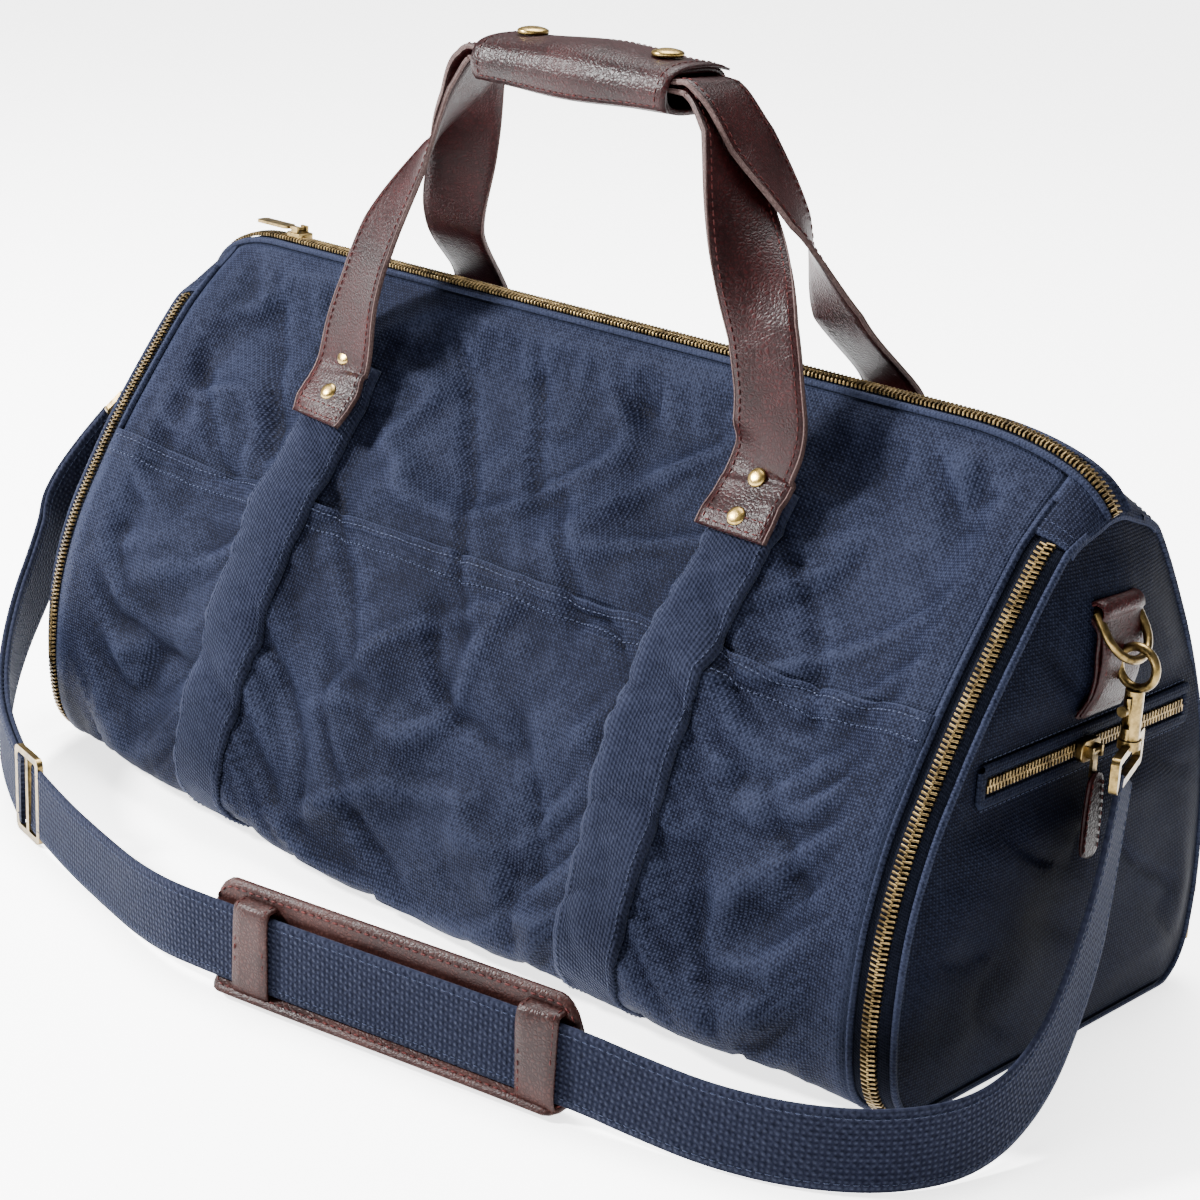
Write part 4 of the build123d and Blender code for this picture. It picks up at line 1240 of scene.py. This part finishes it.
def end_pocket():
    """Horizontal zip pocket in the right end: welt, tape, teeth."""
    z0, half = POCKET_ZIP_Z, POCKET_ZIP_HALF
    count = 120

    def face_line(y, z, lift):
        return np.array([[end_height(END_POINTS["right"], a, b) + lift, a, b] for a, b in zip(y, z)])

    out = np.tile([1.0, 0, 0], (count, 1))
    y = np.linspace(-half, half, count)
    line = face_line(y, np.full(count, z0), 0.0)
    tape = sweep("pocket_tape", line + out * 0.0006, out, flat_section(0.0150, 0.0010, 5), TAPE)
    put(tape, "bag", "zip_tape", "pocket_zip_tape")
    tooth_rows(
        "zip_teeth_pocket", line[2:-2] + out[2:-2] * 0.0009, out[2:-2], "bag", 0.0046, 0.0018,
        "pocket_zip_teeth"
    )
    around = []
    wide, tall = half + 0.001, 0.0072
    corners = [(-wide, z0 + tall), (wide, z0 + tall), (wide, z0 - tall), (-wide, z0 - tall)]
    steps = np.linspace(0, 1, 30, endpoint=False)
    for a, b in zip(corners, corners[1:] + corners[:1]):
        around += [((1 - t) * a[0] + t * b[0], (1 - t) * a[1] + t * b[1]) for t in steps]
    around.append(around[0])
    ring = np.array(around)
    welt = face_line(ring[:, 0], ring[:, 1], 0.0012)
    # The welt uses the darker end canvas, which paints shade on the end panel.
    obj = sweep(
        "pocket_welt_fold", welt, np.tile([1.0, 0, 0], (len(welt), 1)), flat_section(0.0052, 0.0024, 3),
        CANVAS_END_PAINTED_SHADE, caps=False
    )
    put(obj, "bag", "canvas", "pocket_welt")
    lines = []
    for z in (z0 + 0.0112, z0 - 0.0112):
        p = face_line(y, np.full(count, z), 0.0004)
        lines.append((p, out))
    put(stitches("pocket_welt_stitches", lines, THREAD, 0.0032, 0.0003), "bag", "canvas")


def pull_leather():
    """Leather tongue on the pocket's zip pull."""
    low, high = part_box("pocket_pull_leather")
    x, y = (low.x + high.x) / 2, (low.y + high.y) / 2
    z = np.linspace(high.z, low.z, 24)
    points = np.stack([np.full(24, x), np.full(24, y), z], 1)
    t = np.linspace(0, 1, 24)
    taper = 0.82 + 0.18 * smooth_step(t, 0.0, 0.5)
    width = 0.0066 * np.sqrt(np.clip(1 - (2 * t - 1) ** 10, 0.05, 1)) * taper
    out = np.array([1.0, 0, 0])
    rows = []
    for k in range(24):
        section = flat_section(2 * width[k], 0.0024, 7)
        rows.append(points[k] + np.array([0, 1.0, 0]) * section[:, :1] + out * section[:, 1:])
    rings = np.array(rows)
    cols = rings.shape[1]
    faces = [tuple(f) for f in grid_faces(24, cols, wrap=True)]
    faces.append(tuple(reversed(range(cols))))
    faces.append(tuple(23 * cols + j for j in range(cols)))
    obj = new_mesh("pull_tongue", rings.reshape(-1, 3), faces, rings.reshape(-1, 3)[:, 1:], True, HIDE)
    put(obj, "pocket_pull", "leather", "pocket_pull_leather")
    lines = []
    for side in (-1, 1):
        p = points[2:-2] + np.stack([np.full(20, 0.0013), side * (width[2:-2] - 0.0016), np.zeros(20)], 1)
        lines.append((p, np.tile(out, (20, 1))))
    put(stitches("pull_stitches", lines, THREAD_RED, 0.0034, 0.00036), "pocket_pull", "leather")


end_tab("right")
end_tab("left")
end_pocket()
pull_leather()

# ---------------------------------------------------------------- shoulder strap
MAIN_ROUTE = [
    (0.32027, 0, 0.14019), (0.328, -0.018, 0.100), (0.334, -0.040, 0.062), (0.340, -0.072, 0.032),
    (0.341, -0.110, 0.020), (0.328, -0.146, 0.0193), (0.300, -0.173, 0.0193), (0.264, -0.189, 0.0193),
    (0.229, -0.198, 0.022), (0.196, -0.206, 0.026), (-0.006, -0.244, 0.026), (-0.050, -0.240, 0.022),
    (-0.098, -0.228, 0.0193), (-0.144, -0.219, 0.021), (-0.1835, -0.209, 0.024),
]
LEFT_ROUTE = [
    (-0.1925, -0.207, 0.024), (-0.234, -0.190, 0.027), (-0.280, -0.162, 0.036), (-0.320, -0.126, 0.054),
    (-0.345, -0.088, 0.084), (-0.355, -0.062, 0.118), (-0.34288, -0.02894, 0.15455),
]
PAD_HALF = 0.101
PAD_TALL = 0.056
KEEPERS = (-0.072, 0.084)
KEEPER_WIDE = 0.0205


def nurbs_line(name, route, side_step=0.0):
    """The route as a NURBS spline; returns the points along it."""
    curve = bpy.data.curves.new(name, "CURVE")
    curve.dimensions = "3D"
    curve.resolution_u = 16
    spline = curve.splines.new("NURBS")
    spline.points.add(len(route) - 1)
    for point, place in zip(spline.points, route):
        point.co = (*place, 1)
    spline.order_u = 3
    spline.use_endpoint_u = True
    obj = bpy.data.objects.new(name, curve)
    mesh = bpy.data.meshes.new_from_object(obj)
    points = np.array([tuple(v.co) for v in mesh.vertices])
    bpy.data.objects.remove(obj)
    bpy.data.meshes.remove(mesh)
    if side_step:
        tangents = along(points)
        sideways = np.stack([-tangents[:, 1], tangents[:, 0], 0 * tangents[:, 0]], 1)
        points = points + unit(sideways) * side_step
    return points


def strap_normals(points):
    """Outward side of webbing that stands on edge."""
    tangents = along(points)
    return unit(np.stack([tangents[:, 1], -tangents[:, 0], 0 * tangents[:, 0]], 1))


def strap_piece(name, route, node, side_step=0.0):
    points = nurbs_line(name, route, side_step)
    s = arc_positions(points)
    count = int(s[-1] / 0.004)
    points = resample(points, count)
    normals = strap_normals(points)
    obj = sweep(name, points, normals, flat_section(WEBBING, 0.0024, 9), BASKET)
    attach(obj, "bag")
    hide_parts(node)
    return obj, points, normals


def strap_threads(name, points, normals):
    """Two rows of edge stitching on both faces of the webbing."""
    across = np.cross(along(points), normals)
    lines = []
    for side in (-1, 1):
        for face in (-1, 1):
            lines.append((points + across * side * 0.0150 + normals * face * 0.0013, normals * face))
    return put(stitches(name, lines, THREAD, 0.0040, 0.0003), "bag", "webbing")


def pad():
    """Leather shoulder pad behind the webbing, bent with it, with two keepers round both."""
    line = nurbs_line("pad_line", MAIN_ROUTE)
    s_line = arc_positions(line)
    middle = s_line[np.argmin(np.linalg.norm(line - np.array([0.095, -0.225, 0.026]), axis=1))]

    def strap_at(u):
        place = np.array([np.interp(middle - u, s_line, line[:, k]) for k in range(3)])
        ahead = np.array([np.interp(middle - u - 0.002, s_line, line[:, k]) for k in range(3)])
        run = unit(ahead - place)
        out = unit(np.array([run[1], -run[0], 0.0]))
        if out[1] > 0:
            out = -out
        return place, run, out

    up = np.array([0, 0, 1.0])
    rows, cols = 71, 17
    u = np.linspace(-PAD_HALF, PAD_HALF, rows)
    points = np.zeros((rows, cols, 3))
    normals = np.zeros((rows, cols, 3))
    for i in range(rows):
        place, _, out = strap_at(u[i])
        corner = max(0.0, (abs(u[i]) - PAD_HALF + 0.012) / 0.012)
        half = PAD_TALL / 2 * math.sqrt(max(0.25, 1 - 0.75 * corner**2))
        for j in range(cols):
            v = (j / (cols - 1) * 2 - 1) * half
            lip = max(0.0, (-0.0185 - v) / 0.0095)
            reach = 0.0115 * lip**1.2
            rise = v + 0.0012 + 0.0055 * lip**1.5
            points[i, j] = place + up * rise + out * (reach - 0.0036)
            normals[i, j] = unit(out + up * 0.9 * min(lip, 1.0))
    points[..., 2] += np.maximum(0, 0.0012 - points[..., 2].min(axis=1))[:, None]
    if np.dot(np.cross(points[1, 0] - points[0, 0], points[0, 1] - points[0, 0]), normals[0, 0]) < 0:
        points, normals = points[:, ::-1], normals[:, ::-1]
    uv = np.stack(np.meshgrid(u, np.linspace(-0.026, 0.026, cols), indexing="ij"), -1)
    base = slab("pad_leather", points, normals, 0.0036, uv, HIDE_PAD)
    put(base, "pad", "leather", "shoulder_pad")
    rim = [(i, 1) for i in range(1, rows - 1)] + [(rows - 2, j) for j in range(1, cols - 1)]
    rim += [(i, cols - 2) for i in range(rows - 2, 0, -1)] + [(1, j) for j in range(cols - 2, 0, -1)]
    seam = np.array([points[i, j] + normals[i, j] * 0.0002 for i, j in rim])
    seam_normals = np.array([normals[i, j] for i, j in rim])
    put(stitches("pad_stitches", [(seam, seam_normals)], THREAD_RED, 0.0044, 0.0005), "pad", "leather")
    for k, where in enumerate(KEEPERS):
        place, run, out = strap_at(where)
        half_up, half_out = 0.0222, 0.0041
        loop = []
        for turn in np.linspace(0, 2 * math.pi, 49):
            rise, reach = math.sin(turn), math.cos(turn)
            rise = math.copysign(abs(rise) ** 0.35, rise)
            reach = math.copysign(abs(reach) ** 0.35, reach)
            loop.append(place - out * 0.0015 + up * rise * half_up + out * reach * (half_out + 0.0012))
        ring = resample(np.array(loop), 72)
        away = ring - place
        away -= run * np.sum(away * run, axis=1)[:, None]
        outward = unit(away)
        band = flat_section(KEEPER_WIDE, 0.0022, 5)
        keeper = sweep(f"pad_keeper_{k}", ring, outward, band, HIDE_PAD, caps=False)
        nodes = ("pad_loops",) if k == 0 else ()
        put(keeper, "pad", "leather", *nodes)
        threads = []
        for side in (-1, 1):
            seam = ring + run * side * (KEEPER_WIDE / 2 - 0.002) + outward * 0.0012
            threads.append((seam[:-1], outward[:-1]))
        put(stitches(f"keeper_stitches_{k}", threads, THREAD_RED, 0.0040, 0.0004), "pad", "leather")


def straps():
    main, main_points, main_normals = strap_piece("strap_webbing_main", MAIN_ROUTE, "strap_main")
    left = {}
    for key, step in (("outer", 0.0016), ("inner", -0.0016)):
        left[key] = strap_piece(f"strap_webbing_{key}", LEFT_ROUTE, f"strap_left_{key}", step)
    threads = strap_threads("strap_threads_main", main_points, main_normals)
    length = arc_positions(nurbs_line("measure", MAIN_ROUTE))[-1]
    nurbs_line("path", MAIN_ROUTE)
    for key, step in (("outer", 0.0016), ("inner", -0.0016)):
        obj, points, normals = left[key]
        path = nurbs_line(f"path_{key}", LEFT_ROUTE, step)
        rows = strap_threads(f"strap_threads_{key}", points, normals)


straps()
pad()

# ---------------------------------------------------------------- metal fittings and hidden parts
METAL = [
    "snap_studs", "top_zip_slider", "top_zip_pull", "pocket_zip_slider", "pocket_zip_pull",
    "side_zip_slider_right", "side_zip_slider_left", "side_zip_pull_right", "side_zip_pull_left",
    "d_ring_right", "d_ring_left", "hook_eye_right", "hook_eye_left", "hook_body_right", "hook_body_left",
    "hook_bolt_right", "hook_bolt_left", "strap_adjuster",
]


def finish_cad(name, material):
    obj = NODES[name]
    obj.data.materials.clear()
    obj.data.materials.append(material)
    for face in obj.data.polygons:
        face.material_index = 0
    return obj


for name in METAL:
    finish_cad(name, BRASS)
BOARD, board_tree, board_shader = nodes_of("board_grey")
board_tone = ramp(
    board_tree, grain(board_tree, 60.0), [(0.3, (0.10, 0.09, 0.08)), (0.7, (0.16, 0.14, 0.12))]
)
link(board_tree, board_tone, board_shader.inputs["Base Color"])
finish_cad("base_board", BOARD)
finish_cad("pocket_pouch", LINING)
